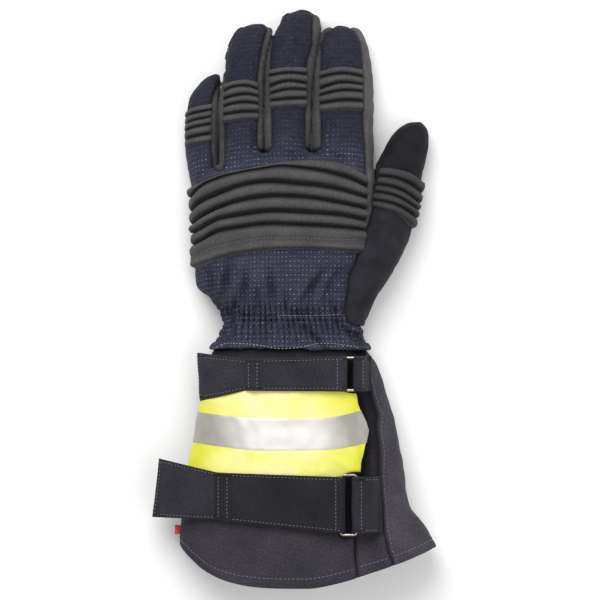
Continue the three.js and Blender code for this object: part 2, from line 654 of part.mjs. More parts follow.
// The cuff, in a back, a gusset, a side panel and a palm panel
const BEYOND = 0.02; // how far the hollow runs past both ends of the cuff, as a share of CUFF_LENGTH
const cuffEnds = [cuff.rows[0] - BEYOND, cuff.rows[cuff.rows.length - 1] + BEYOND];
const cuffInnerRows = [cuffEnds[0], ...cuff.rows.filter((_, i) => i % 2 === 1), cuffEnds[1]];
const openCuff = settled({ ...cuff, section: (at) => ({ ...cuff.section(at), y: -at * CUFF_LENGTH }) });
const cuffInner = tube(openCuff, CUFF_SIDES, -CUFF_WALL, { rows: cuffInnerRows });
const cuffShell = onTable(tube(cuff, CUFF_SIDES, 0).subtract(cuffInner));
const cuffYs = spaced(-1.1 * CUFF_LENGTH, 0.1 * CUFF_LENGTH, 10);
const gussetLeft = (y) => gussetX(y) - GUSSET_TO_LEFT * GUSSET_WIDTH;
function gussetRight(y) {
  const spread = THREE.MathUtils.smoothstep(-y / CUFF_LENGTH, GUSSET_SPREAD_FROM, GUSSET_SPREAD_TO);
  return gussetX(y) + GUSSET_TO_RIGHT * GUSSET_WIDTH + CUFF_WIDTH * GUSSET_SPREAD * spread;
}
const cuffSeamZ = CUFF_SEAM * CUFF_HEIGHT;
function cuffPanel(left, right, low, high) {
  const region = block(cuffYs, left, right, () => low, () => high);
  return largest(cuffShell.intersect(region));
}
const cuffPalm = cuffPanel(() => -CUFF_WIDTH, () => CUFF_WIDTH, -FAR, cuffSeamZ - half);
const cuffUpper = (left, right) => cuffPanel(left, right, cuffSeamZ + half, FAR);
const cuffBack = cuffUpper(() => -CUFF_WIDTH, (y) => gussetLeft(y) - half);
const cuffGusset = cuffUpper((y) => gussetLeft(y) + half, (y) => gussetRight(y) - half);
const cuffSide = cuffUpper((y) => gussetRight(y) + half, () => CUFF_WIDTH);

// A point on the flat facets of a form's tube, which lie a little inside its curved outline
function facetPoint(form, sides, at, angle, lift) {
  const above = THREE.MathUtils.clamp(form.rows.findIndex((row) => row > at), 1, form.rows.length - 1);
  const [from, to] = [form.rows[above - 1], form.rows[above]];
  const t = (at - from) / (to - from);
  const step = (2 * Math.PI) / sides;
  const first = Math.floor(angle / step + 1e-9) * step;
  const u = (angle - first) / step;
  const corner = (row, angle) => formPoint(form, row, angle, lift);
  const onRing = (row) => corner(row, first).lerp(corner(row, first + step), u);
  return onRing(from).lerp(onRing(to), t);
}

// The angles of a tube's corners between two angles, with both of these
function cornerAngles(sides, first, last) {
  const inside = spaced(0, 2 * Math.PI, sides).filter((a) => a > first && a < last);
  return [first, ...inside, last];
}

// A layer that lies on the facets of a form's tube: lift above them and as thick as thickness says
function layer(form, sides, angles, rows, atOf, lift, thickness) {
  const row = (r, place) => angles.map((angle) => place(atOf(r, angle), angle, thickness(r, angle)));
  const grid = (place) => rows.map((r) => row(r, place));
  const upper = grid((at, angle, height) => facetPoint(form, sides, at, angle, lift + height));
  const lower = grid((at, angle) => facetPoint(form, sides, at, angle, lift));
  return slab(upper, lower);
}

// Rows for a ribbed pad, and how high its surface stands at one of them
function ribRows(grooves) {
  return grooves.flatMap((end, i) => (i ? spaced(grooves[i - 1], end, RIB_ROWS).slice(1) : [end]));
}
function ribHeight(grooves, r) {
  let i = 0;
  while (i + 2 < grooves.length && grooves[i + 1] <= r) i++;
  const t = (r - grooves[i]) / (grooves[i + 1] - grooves[i]);
  return Math.sin(Math.PI * THREE.MathUtils.clamp(t, 0, 1)) ** RIB_POWER;
}

// A pad with ribs across it. Its edge thins out at both ends of each rib.
function ribbedPad(form, sides, { from, to, grooves, firstAngle, lastAngle, rib, shift }) {
  const across = (angle) => (angle - firstAngle) / (lastAngle - firstAngle);
  const edge = (angle) => Math.sin(Math.PI * across(angle)) ** PAD_EDGE_POWER;
  return layer(
    form,
    sides,
    cornerAngles(sides, firstAngle, lastAngle),
    ribRows(grooves),
    (r, angle) => mix(from, to, r) + shift(angle),
    CLEARANCE,
    (r, angle) => PAD_BASE * mix(PAD_EDGE, 1, edge(angle)) + rib * ribHeight(grooves, r) * edge(angle),
  );
}

const knucklePad = ribbedPad(hand, HAND_SIDES, {
  from: KNUCKLE_PAD_FROM,
  to: KNUCKLE_PAD_TO,
  grooves: KNUCKLE_GROOVES,
  firstAngle: KNUCKLE_PAD_ANGLES[0] * Math.PI,
  lastAngle: KNUCKLE_PAD_ANGLES[1] * Math.PI,
  rib: PAD_RIB,
  shift: () => 0,
});

const fingerPads = FINGER_PADS.map((pad) =>
  ribbedPad(fingers[pad.finger], FINGER_SIDES, {
    ...pad,
    grooves: FINGER_GROOVES,
    firstAngle: FINGER_PAD_RIGHT * Math.PI,
    lastAngle: pad.leftEdge * Math.PI,
    rib: FINGER_PAD_RIB,
    shift: (angle) => -pad.bow * (1 - Math.sin(angle)),
  }),
);

const thumbPad = ribbedPad(thumb, THUMB_SIDES, {
  from: THUMB_PAD_FROM,
  to: THUMB_PAD_TO,
  grooves: THUMB_GROOVES,
  firstAngle: THUMB_PAD_ANGLES[0] * Math.PI,
  lastAngle: THUMB_PAD_ANGLES[1] * Math.PI,
  rib: FINGER_PAD_RIB,
  shift: (angle) => -THUMB_PAD_SLANT * Math.cos(angle),
});

// The reflective panel wraps the back of the cuff as far as its left seam
const panelAngles = cornerAngles(CUFF_SIDES, (2 * Math.PI * PANEL_FIRST_CORNER) / CUFF_SIDES, Math.PI);
function cuffLayer(from, to, lift, thickness) {
  const rows = [from, ...cuff.rows.filter((at) => at > from && at < to), to];
  return layer(cuff, CUFF_SIDES, panelAngles, rows, (at) => at, lift, () => thickness);
}
const stripeLift = 2 * CLEARANCE + PANEL_THICKNESS;
const reflectivePanel = cuffLayer(PANEL_FROM, PANEL_TO, CLEARANCE, PANEL_THICKNESS);
const reflectiveStripe = cuffLayer(STRIPE_FROM, STRIPE_TO, stripeLift, STRIPE_THICKNESS);

// A ribbon of cloth of one thickness along a path in X and Z, whose points also depend on y
function ribbon(pathAt, rows, thickness) {
  const sides = rows.map((row) => {
    const path = pathAt(row);
    return path.map((point, i) => {
      const before = path[Math.max(i - 1, 0)];
      const after = path[Math.min(i + 1, path.length - 1)];
      const normal = new THREE.Vector3(before.z - after.z, 0, after.x - before.x).normalize();
      return { point, normal };
    });
  });
  const moved = ({ point, normal }, side) => point.clone().addScaledVector(normal, side);
  const grid = (side) => sides.map((row) => row.map((station) => moved(station, side)));
  return slab(grid(thickness / 2), grid(-thickness / 2));
}

const STRAP_INSET = 0.95; // a strap spans the cuff's edges a little more stiffly than the cuff bends
const FOLD_START = 0.12; // where the folded end of a strap is sewn down, as a share from its tab to its ring
const FOLD_STEP = 8; // over how far the strap steps up on to its folded end
const TAB_CURL = 0.6; // how steeply a tab starts to fall, as a share of its tabDrop
const LEAN_REACH = 1; // how far to each side a ring's loop is measured for its lean

const underStrap = 2 * CLEARANCE + PANEL_THICKNESS; // the reflective panel lies between a strap and the cuff
const layerStep = STRAP_THICKNESS + CLEARANCE;
const foldRadius = RING_WIRE / 2 + CLEARANCE + STRAP_THICKNESS / 2;
const strapRest = (x, y) => cuffTop(STRAP_INSET * x, y) + underStrap + STRAP_THICKNESS / 2;

// Where a strap lies at x: the y of its middle and its width
function strapAt(spec, x) {
  const row = rowAt(spec.stations, x / CUFF_WIDTH);
  return { middle: -row.middle * CUFF_LENGTH, width: row.width * spec.width };
}
const leftWireX = (spec) => spec.stations[spec.stations.length - 1].at * CUFF_WIDTH;
const rightWireX = (spec) => leftWireX(spec) + RING_WIDTH - RING_WIRE;

// The height of the ring's wire, which is straight from one end of the ring to the other
function wireHeight(spec, y) {
  const x = leftWireX(spec);
  const { middle, width } = strapAt(spec, x);
  const [near, far] = [middle - width / 2, middle + width / 2];
  const height = (at) => Math.max(strapRest(x, at), strapRest(rightWireX(spec), at)) + foldRadius;
  return mix(height(near), height(far), (y - near) / (far - near)) + CLEARANCE;
}

// A strap that is folded round the left wire of its ring and ends in a pull tab past the cuff's left edge
function foldedStrap(spec) {
  const wireX = leftWireX(spec);
  const [end, start] = spec.stations.map((row) => row.at * CUFF_WIDTH);
  const leaves = spec.leaves * CUFF_WIDTH;
  const sewn = mix(start, wireX, FOLD_START);
  const onWire = (x) => THREE.MathUtils.smoothstep(x, sewn, wireX);
  const lowerZ = (x, y) => {
    const rest = strapRest(x, y);
    return Math.max(rest, mix(rest, wireHeight(spec, y) - foldRadius, onWire(x)));
  };
  const upperZ = (x, y) => {
    const step = layerStep * THREE.MathUtils.smoothstep(x, sewn - FOLD_STEP, sewn - STRAP_THICKNESS);
    return mix(strapRest(x, y) + step, wireHeight(spec, y) + foldRadius, onWire(x));
  };
  const tabZ = (x, y) => {
    const out = leaves - x;
    return upperZ(leaves, y) - spec.tabDrop * out * mix(TAB_CURL, 1, out / (leaves - end));
  };
  const pathAt = (side) => {
    const point = (x, z) => {
      const { middle, width } = strapAt(spec, x);
      const y = middle + (side * width) / 2;
      return new THREE.Vector3(x, y, z(x, y));
    };
    const turned = (a) => {
      const at = point(wireX, (_, y) => wireHeight(spec, y));
      return at.add(new THREE.Vector3(foldRadius * Math.cos(a), 0, foldRadius * Math.sin(a)));
    };
    return [
      ...spaced(sewn, wireX, 5).map((x) => point(x, lowerZ)),
      ...spaced(-Math.PI / 2, Math.PI / 2, 4).slice(1, -1).map(turned),
      ...spaced(wireX, leaves, 9).map((x) => point(x, upperZ)),
      ...spaced(leaves, end, 3).slice(1).map((x) => point(x, tabZ)),
    ];
  };
  return ribbon(pathAt, [-1, 0, 1], STRAP_THICKNESS);
}

// The wire ring, a rounded rectangle
function wireRing(spec) {
  const [leftX, rightX] = [leftWireX(spec), rightWireX(spec)];
  const { middle, width } = strapAt(spec, leftX);
  const tall = width / 2 + RING_WIRE / 2 + CLEARANCE;
  const corners = [
    [leftX, middle - tall],
    [rightX, middle - tall],
    [rightX, middle + tall],
    [leftX, middle + tall],
  ].map(([x, y]) => new THREE.Vector3(x, y, wireHeight(spec, y)));
  const centreLine = corners.flatMap((here, i) => {
    const into = here.clone().add(corners[(i + 3) % 4].clone().sub(here).setLength(RING_CORNER));
    const out = here.clone().add(corners[(i + 1) % 4].clone().sub(here).setLength(RING_CORNER));
    return new THREE.QuadraticBezierCurve3(into, here, out).getPoints(4);
  });
  const section = new THREE.Shape().absarc(0, 0, RING_WIRE / 2, 0, 2 * Math.PI);
  const rings = centreLine.map((point, i) => {
    const before = centreLine[(i + centreLine.length - 1) % centreLine.length];
    const forward = centreLine[(i + 1) % centreLine.length].clone().sub(before).normalize();
    const across = new THREE.Vector3(0, 0, 1).cross(forward).normalize();
    const up = forward.clone().cross(across);
    const onWire = ({ x, y }) => point.clone().addScaledVector(across, x).addScaledVector(up, y);
    return section.getSpacedPoints(WIRE_SIDES).slice(0, -1).map(onWire);
  });
  const faces = [];
  for (let r = 0; r < rings.length; r++) {
    const next = (r + 1) % rings.length;
    for (let i = 0; i < WIRE_SIDES; i++) {
      const j = (i + 1) % WIRE_SIDES;
      const here = [r * WIRE_SIDES + i, r * WIRE_SIDES + j];
      const there = [next * WIRE_SIDES + i, next * WIRE_SIDES + j];
      faces.push(here[0], here[1], there[1], here[0], there[1], there[0]);
    }
  }
  return solidFrom(rings.flat(), faces);
}

// The loop of strap that holds the ring's right wire and is sewn down on the side of the cuff
function ringAnchor(spec) {
  const wireX = rightWireX(spec);
  const end = spec.anchorEnd * CUFF_WIDTH;
  const { middle, width } = strapAt(spec, leftWireX(spec));
  const pathAt = (side) => {
    const y = middle + (side * width) / 2;
    const wireZ = wireHeight(spec, y);
    const settle = (x) => THREE.MathUtils.smoothstep(x, wireX, end);
    const lowerZ = (x) => mix(wireZ - foldRadius, strapRest(x, y), settle(x));
    // Where the loop falls down the side of the cuff its layers are further apart in height
    const lean = (x) => Math.hypot(1, (lowerZ(x + LEAN_REACH) - lowerZ(x - LEAN_REACH)) / (2 * LEAN_REACH));
    const upperZ = (x) => mix(wireZ + foldRadius, strapRest(x, y) + layerStep * lean(x), settle(x));
    const point = (x, z) => new THREE.Vector3(x, y, z);
    const turned = (a) => point(wireX + foldRadius * Math.cos(a), wireZ + foldRadius * Math.sin(a));
    return [
      ...spaced(end, wireX, 4).map((x) => point(x, lowerZ(x))),
      ...spaced(1.5 * Math.PI, Math.PI / 2, 4).slice(1, -1).map(turned),
      ...spaced(wireX, end, 4).map((x) => point(x, upperZ(x))),
    ];
  };
  return ribbon(pathAt, [-1, 0, 1], STRAP_THICKNESS);
}

// The small plain tab sewn into the left seam of the cuff
function seamTab() {
  const row = cuff.section(TAB_AT);
  const z = mix(row.low, row.high, WAIST);
  const shape = new THREE.BoxGeometry(TAB_WIDTH, TAB_LENGTH, TAB_THICKNESS);
  shape.deleteAttribute("normal");
  shape.deleteAttribute("uv");
  shape.translate(row.left - TAB_WIDTH / 2 - SEAM_GAP, row.y, z);
  return solidOf(shape);
}

const COLOURS = {
  navy: { color: 0x1f2536, roughness: 0.85, metalness: 0 },
  charcoal: { color: 0x3b3b3d, roughness: 0.8, metalness: 0 },
  black: { color: 0x1b1b1f, roughness: 0.75, metalness: 0 },
  cuffCloth: { color: 0x26262a, roughness: 0.9, metalness: 0 },
  webbing: { color: 0x2b2b2e, roughness: 0.85, metalness: 0 },
  yellow: { color: 0xd8f01c, roughness: 0.6, metalness: 0 },
  silver: { color: 0xa9aaa8, roughness: 0.45, metalness: 0.2 },
  steel: { color: 0xb9a9a0, roughness: 0.3, metalness: 1 },
  red: { color: 0xb3262a, roughness: 0.7, metalness: 0 },
};

const glove = new THREE.Group();
function addPiece(name, solid, colour) {
  const { vertProperties, triVerts } = solid.getMesh();
  const geometry = new THREE.BufferGeometry();
  geometry.setAttribute("position", new THREE.BufferAttribute(Float32Array.from(vertProperties), 3));
  geometry.setIndex(new THREE.BufferAttribute(Uint32Array.from(triVerts), 1));
  geometry.computeVertexNormals();
  const mesh = new THREE.Mesh(geometry, new THREE.MeshStandardMaterial(COLOURS[colour]));
  mesh.name = name;
  glove.add(mesh);
}

addPiece("back_shell", backShell, "navy");
addPiece("palm_shell", palmShell, "black");
WEBS.forEach((web, i) => addPiece(web.name, fourchettes[i], "charcoal"));
addPiece("index_side_strip", indexSide, "charcoal");
addPiece("thumb_back", thumbBack, "black");
addPiece("thumb_palm", thumbPalm, "black");
addPiece("knuckle_pad", knucklePad, "charcoal");
FINGER_PADS.forEach((pad, i) => addPiece(pad.name, fingerPads[i], "charcoal"));
addPiece("thumb_pad", thumbPad, "charcoal");
addPiece("cuff_back", cuffBack, "cuffCloth");
addPiece("cuff_gusset", cuffGusset, "cuffCloth");
addPiece("cuff_side", cuffSide, "cuffCloth");
addPiece("cuff_palm", cuffPalm, "cuffCloth");
addPiece("reflective_panel", reflectivePanel, "yellow");
addPiece("reflective_stripe", reflectiveStripe, "silver");
for (const spec of STRAPS) {
  addPiece(spec.name, foldedStrap(spec), "webbing");
  addPiece(spec.ring, wireRing(spec), "steel");
  addPiece(spec.anchor, ringAnchor(spec), "webbing");
}
addPiece("seam_tab", seamTab(), "red");

// The origin lies under the middle of the glove, on the surface that it rests on
const bounds = new THREE.Box3().setFromObject(glove);
const centre = bounds.getCenter(new THREE.Vector3());
glove.position.set(-centre.x, -centre.y, -bounds.min.z);

export default glove;
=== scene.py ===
# Looks of a firefighter's glove for the left hand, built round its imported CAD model.
# Shapes are worked out in mm in the hand's own axes: X to the thumb, Y from the wrist to the
# fingertips, Z up, with the table at 0. put() moves them into the frame, in metres.
import math

import bmesh
import bpy
import numpy as np
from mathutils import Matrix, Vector
from mathutils.bvhtree import BVHTree
from mathutils.kdtree import KDTree


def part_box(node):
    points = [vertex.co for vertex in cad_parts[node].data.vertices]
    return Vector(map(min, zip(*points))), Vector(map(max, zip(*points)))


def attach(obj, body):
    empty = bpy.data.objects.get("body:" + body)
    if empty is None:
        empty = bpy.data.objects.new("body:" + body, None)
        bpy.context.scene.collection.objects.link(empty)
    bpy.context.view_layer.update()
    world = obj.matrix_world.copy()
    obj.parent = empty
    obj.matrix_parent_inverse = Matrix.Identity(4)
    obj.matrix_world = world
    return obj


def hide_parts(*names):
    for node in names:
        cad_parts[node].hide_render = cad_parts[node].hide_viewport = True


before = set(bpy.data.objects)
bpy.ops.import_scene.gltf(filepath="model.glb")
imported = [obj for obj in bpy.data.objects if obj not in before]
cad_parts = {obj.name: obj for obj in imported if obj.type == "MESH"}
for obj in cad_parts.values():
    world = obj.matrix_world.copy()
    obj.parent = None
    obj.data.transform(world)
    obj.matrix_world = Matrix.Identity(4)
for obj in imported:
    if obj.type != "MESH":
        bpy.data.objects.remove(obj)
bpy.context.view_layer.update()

# Sizes shared with the CAD model
HAND_LENGTH, HAND_WIDTH, HAND_HEIGHT = 210, 122, 42
FINGER_HEIGHT, THUMB_HEIGHT = 29, 30
CUFF_LENGTH, CUFF_WIDTH, CUFF_HEIGHT = 171, 170, 55
WALL, CUFF_WALL = 2.6, 2.0
GUSSET_DEPTH, GUSSET_WIDTH = 7, 8
CLEARANCE, FLARE_CLEARANCE = 0.4, 1.1
PANEL_THICKNESS = 0.9
STRAP_THICKNESS = 1.5
RING_WIRE, RING_WIDTH, RING_CORNER = 2.6, 13, 2.4
WIRE_RADIUS = 0.9
WAIST, DOME_POWER, BELLY_POWER = 0.4, 2.3, 3.4
FLATTENED = 0.05
FLARE_TOP = 0.006

HAND = np.array([  # at, left, right, high, drop left, drop right
    (-0.066, -0.39, 0.37, 0.88, 0, 0), (-0.03, -0.39, 0.37, 0.88, 0, 0),
    (-0.012, -0.386, 0.37, 0.87, 0, 0), (0.006, -0.379, 0.366, 0.86, 0, 0),
    (0.025, -0.377, 0.347, 0.87, 0.002, 0), (0.047, -0.381, 0.327, 0.89, 0.006, 0),
    (0.069, -0.406, 0.312, 0.91, 0.01, 0), (0.1, -0.449, 0.314, 0.94, 0.016, 0.002),
    (0.132, -0.492, 0.33, 0.96, 0.022, 0.003), (0.208, -0.525, 0.373, 0.99, 0.047, 0.009),
    (0.245, -0.53, 0.39, 1, 0.063, 0.014), (0.434, -0.544, 0.433, 0.98, 0.069, 0.038),
    (0.481, -0.549, 0.436, 0.94, 0.079, 0.044), (0.513, -0.557, 0.436, 0.89, 0.085, 0.047),
    (0.538, -0.557, 0.434, 0.81, 0.085, 0.047), (0.55, -0.552, 0.43, 0.71, 0.085, 0.047),
    (0.557, -0.54, 0.42, 0.56, 0.085, 0.047)])
FINGERS = {  # at, left, right, low, high
    "pinky": np.array([
        (0.4, -0.54, -0.415, -0.03, 0.8), (0.512, -0.575, -0.417, -0.03, 0.82),
        (0.64, -0.587, -0.419, 0.03, 0.86), (0.685, -0.58, -0.419, 0.03, 0.84),
        (0.736, -0.552, -0.412, 0.02, 0.77), (0.761, -0.525, -0.404, 0.05, 0.7),
        (0.78, -0.498, -0.398, 0.1, 0.62), (0.792, -0.468, -0.398, 0.16, 0.53),
        (0.801, -0.436, -0.406, 0.25, 0.42)]),
    "ring": np.array([
        (0.4, -0.39, -0.175, -0.03, 1.1), (0.512, -0.401, -0.166, -0.03, 1.05),
        (0.685, -0.402, -0.167, 0.04, 0.98), (0.78, -0.384, -0.164, 0.05, 0.95),
        (0.887, -0.352, -0.139, 0.04, 0.87), (0.912, -0.335, -0.126, 0.04, 0.82),
        (0.937, -0.303, -0.12, 0.08, 0.72), (0.95, -0.265, -0.132, 0.14, 0.62),
        (0.959, -0.222, -0.157, 0.24, 0.48)]),
    "middle": np.array([
        (0.4, -0.157, 0.085, -0.03, 1.2), (0.512, -0.155, 0.086, -0.03, 1.12),
        (0.717, -0.157, 0.093, 0.05, 1), (0.874, -0.138, 0.122, 0.05, 0.92),
        (0.912, -0.119, 0.136, 0.04, 0.88), (0.937, -0.098, 0.141, 0.04, 0.83),
        (0.962, -0.076, 0.14, 0.07, 0.76), (0.987, -0.038, 0.119, 0.14, 0.62),
        (1, 0.035, 0.075, 0.26, 0.46)]),
    "index": np.array([
        (0.4, 0.1, 0.4, -0.03, 0.95), (0.512, 0.099, 0.422, -0.03, 1),
        (0.66, 0.103, 0.424, 0.04, 1.02), (0.811, 0.117, 0.416, 0.06, 0.97),
        (0.862, 0.127, 0.401, 0.05, 0.93), (0.906, 0.143, 0.383, 0.05, 0.86),
        (0.928, 0.152, 0.366, 0.09, 0.77), (0.943, 0.182, 0.338, 0.16, 0.63),
        (0.95, 0.225, 0.3, 0.26, 0.48)]),
}
THUMB = np.array([  # at, left, right, low, high
    (0.006, 0.2, 0.376, -0.03, 0.9), (0.082, 0.22, 0.433, -0.03, 1.05),
    (0.182, 0.27, 0.541, -0.03, 1.15), (0.283, 0.335, 0.622, -0.03, 1.12),
    (0.384, 0.395, 0.668, -0.03, 1.03), (0.484, 0.433, 0.696, 0, 0.94),
    (0.535, 0.463, 0.717, 0.02, 0.9), (0.585, 0.514, 0.73, 0.03, 0.85),
    (0.61, 0.541, 0.728, 0.04, 0.79), (0.632, 0.574, 0.717, 0.09, 0.69),
    (0.648, 0.625, 0.69, 0.2, 0.52)])
CUFF = np.array([  # at, left, right, high, bow
    (0.035, -0.262, 0.243, 0.6, 0), (0.081, -0.309, 0.277, 0.72, 0.008),
    (0.124, -0.328, 0.307, 0.77, 0.015), (0.2, -0.342, 0.339, 0.82, 0.02),
    (0.3, -0.357, 0.374, 0.87, 0.025), (0.365, -0.367, 0.392, 0.895, 0.027),
    (0.435, -0.38, 0.406, 0.92, 0.03), (0.545, -0.404, 0.426, 0.95, 0.05),
    (0.63, -0.42, 0.437, 0.97, 0.075), (0.7, -0.431, 0.453, 0.985, 0.1),
    (0.77, -0.437, 0.512, 1, 0.127), (0.845, -0.441, 0.556, 1.01, 0.155)])

# How the hem bends towards its two ends, as the photo shows it
HEM_POWER_LEFT, HEM_POWER_RIGHT = 3.8, 1.38

# Curves on the glove are given in pixels of the photograph: 0.66 mm each, from the hand's origin
PIXEL, ORIGIN_X, ORIGIN_Y = 0.66, 294, 328
TAB_AT, TAB_WIDTH, SEAM_GAP = 0.78, 5, 0.3


def mix(a, b, t):
    return a + (b - a) * t


def smooth(x, low, high):
    t = np.clip((x - low) / (high - low), 0, 1)
    return t * t * (3 - 2 * t)


def bell(x, width):
    """1 at 0, falling to nothing some widths away."""
    return np.exp(-((x / width) ** 2))


def power(value, exponent):
    return np.sign(value) * np.abs(value) ** exponent


def unit(vectors):
    return vectors / np.linalg.norm(vectors, axis=-1, keepdims=True)


def run_along(line):
    """How far each point of a line is from its start."""
    return np.concatenate([[0], np.cumsum(np.linalg.norm(np.diff(line, axis=0), axis=1))])


def arcs(grid):
    """How far each point of a grid is along its row."""
    steps = np.linalg.norm(np.diff(grid, axis=1), axis=-1)
    return np.concatenate([np.zeros((len(grid), 1)), np.cumsum(steps, 1)], 1)


def spline(xs, ys, x):
    """A smooth curve through points, flat beyond its ends."""
    slopes = np.gradient(ys, xs)
    i = np.clip(np.searchsorted(xs, x) - 1, 0, len(xs) - 2)
    h = xs[i + 1] - xs[i]
    t = np.clip((x - xs[i]) / h, 0, 1)
    return ((1 + 2 * t) * (1 - t) ** 2 * ys[i] + t * (1 - t) ** 2 * h * slopes[i]
            + t * t * (3 - 2 * t) * ys[i + 1] + t * t * (t - 1) * h * slopes[i + 1])


def columns(table, at):
    return [spline(table[:, 0], table[:, i], at) for i in range(1, table.shape[1])]


def px(x, y):
    """A place in the photograph as x and y in mm."""
    return (x - ORIGIN_X) * PIXEL, (ORIGIN_Y - y) * PIXEL


def across(*points):
    """The height y of a curve through pixels, as a function of x, in mm."""
    xs, ys = px(*np.array(sorted(points), float).T)
    return lambda x: spline(xs, ys, x)


def curves(*rows):
    """Several curves through pixels, from the lower edge of a piece up."""
    return [across(*row) for row in rows]


def along(*points):
    """The place x of a curve through pixels, as a function of y, in mm."""
    xs, ys = px(*np.array(sorted(points, key=lambda point: -point[1]), float).T)
    return lambda y: np.interp(y, ys, xs)


def beside(curve, by):
    """A curve along a side, moved to the right by some mm."""
    return lambda y: curve(y) + by


def waves(points, size, count, seed):
    """Smooth noise of about one, whose humps are size mm wide."""
    rng = np.random.default_rng(seed)
    total = np.zeros(points.shape[:-1])
    for _ in range(count):
        way = rng.normal(size=3)
        way *= 2 * np.pi / (np.linalg.norm(way) * size * rng.uniform(0.7, 1.5))
        total += np.sin(points @ way + rng.uniform(0, 2 * np.pi))
    return total / math.sqrt(count)


def crease(points, x_from, y_from, x_to, y_to, depth, width):
    """A fold pressed in along a line between two pixels."""
    a, b = np.array(px(x_from, y_from)), np.array(px(x_to, y_to))
    d = b - a
    rel = points[..., :2] - a
    t = np.clip(rel @ d / (d @ d), 0, 1)
    away = np.linalg.norm(rel - t[..., None] * d, axis=-1)
    fade = np.sin(np.pi * np.clip(0.12 + 0.76 * t, 0, 1))
    return -depth * fade * bell(away, width)


def folds(points, table):
    """All the folds of a table."""
    return sum(crease(points, *row) for row in table)


# Forms: tubes along Y, as in the CAD model
class Form:
    def __init__(self, section, scale, bend=None):
        self.section, self.scale, self.bend = section, scale, bend or (lambda row, q: 0 * q)

    def point(self, at, angle, lift=0.0):
        row = self.section(at)
        cosine, sine = np.cos(angle), np.sin(angle)
        exponent = np.where(sine > 0, 2 / DOME_POWER, 2 / BELLY_POWER)
        q = power(cosine, exponent)
        waist = mix(row["low"], row["high"], WAIST)
        reach = np.where(sine > 0, row["high"] - waist, waist - row["low"])
        x = (row["left"] + row["right"]) / 2 + (row["right"] - row["left"]) / 2 * q + lift * q
        y = row["y"] + self.bend(row, q)
        z = waist + (reach + lift) * power(sine, exponent)
        return np.stack(np.broadcast_arrays(x, y, z), -1)

    def angle_at(self, at, x):
        """The angle on the upper half where the form has a given x."""
        row = self.section(at)
        q = np.clip((2 * x - row["left"] - row["right"]) / (row["right"] - row["left"]), -1, 1)
        return np.arccos(power(q, DOME_POWER / 2))


def cuff_section(at):
    left, right, high, bow = columns(CUFF, at)
    return {"y": -at * CUFF_LENGTH, "left": left * CUFF_WIDTH, "right": right * CUFF_WIDTH,
            "low": -FLATTENED * CUFF_HEIGHT + 0 * left, "high": high * CUFF_HEIGHT, "bow": bow}


def cuff_bend(row, q):
    exponent = np.where(q < 0, HEM_POWER_LEFT, HEM_POWER_RIGHT)
    return -row["bow"] * CUFF_LENGTH * (1 - np.abs(q) ** exponent)


def hand_section(at):
    left, right, high, drop_left, drop_right = columns(HAND, at)
    y = at * HAND_LENGTH
    under = cuff_section(np.clip(-y / CUFF_LENGTH, CUFF[0, 0], 1))
    over = WALL + FLARE_CLEARANCE
    t = smooth(y, -CUFF[0, 0] * CUFF_LENGTH, FLARE_TOP * HAND_LENGTH)
    return {"y": y, "left": mix(under["left"] - over, left * HAND_WIDTH, t),
            "right": mix(under["right"] + over, right * HAND_WIDTH, t),
            "low": mix(under["low"] - over * WAIST / (1 - WAIST), -FLATTENED * HAND_HEIGHT, t),
            "high": mix(under["high"] + over, high * HAND_HEIGHT, t),
            "drop_left": drop_left, "drop_right": drop_right}


def hand_bend(row, q):
    return -np.where(q < 0, row["drop_left"], row["drop_right"]) * HAND_LENGTH * q * q


def digit(table, height):
    def section(at):
        left, right, low, high = columns(table, at)
        return {"y": at * HAND_LENGTH, "left": left * HAND_WIDTH, "right": right * HAND_WIDTH,
                "low": low * height, "high": high * height}
    return Form(section, HAND_LENGTH)


hand = Form(hand_section, HAND_LENGTH, hand_bend)
cuff = Form(cuff_section, -CUFF_LENGTH, cuff_bend)
fingers = {name: digit(table, FINGER_HEIGHT) for name, table in FINGERS.items()}
thumb = digit(THUMB, THUMB_HEIGHT)

# Where the hand's origin lies in the frame, from the plain tab in the cuff's seam
tab_low, tab_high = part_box("seam_tab")
tab_row = cuff_section(np.array(TAB_AT))
SHIFT = np.array([
    (tab_low[0] + tab_high[0]) * 500 - (tab_row["left"] - TAB_WIDTH / 2 - SEAM_GAP),
    (tab_low[1] + tab_high[1]) * 500 - tab_row["y"],
    (tab_low[2] + tab_high[2]) * 500 - mix(tab_row["low"], tab_row["high"], WAIST)])

# Meshes
SHAPES = {}


def linked(name, data):
    """A new object in the scene."""
    made = bpy.data.objects.new(name, data)
    bpy.context.scene.collection.objects.link(made)
    return made


def put(name, points, faces, material, slot, node=None, sharp=40, **attributes):
    """An object of the glove from points in mm, which rides on the one body."""
    points = np.asarray(points, float).reshape(-1, 3)
    SHAPES[name] = (points, faces)
    mesh = bpy.data.meshes.new(name)
    mesh.from_pydata(((points + SHIFT) / 1000).tolist(), [], [list(map(int, f)) for f in faces])
    mesh.validate()
    body = bmesh.new()
    body.from_mesh(mesh)
    bmesh.ops.recalc_face_normals(body, faces=body.faces)
    body.to_mesh(mesh)
    body.free()
    mesh.update()
    mesh.shade_smooth()
    mesh.set_sharp_from_angle(angle=math.radians(sharp))
    for key, values in attributes.items():
        values = np.asarray(values, np.float32)
        kind, field = ("FLOAT_VECTOR", "vector") if values.ndim == 2 else ("FLOAT", "value")
        mesh.attributes.new(key, kind, "POINT").data.foreach_set(field, values.ravel())
    mesh.materials.append(material)
    piece = linked(name, mesh)
    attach(piece, "root")
    if node:
        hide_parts(node)
    return piece


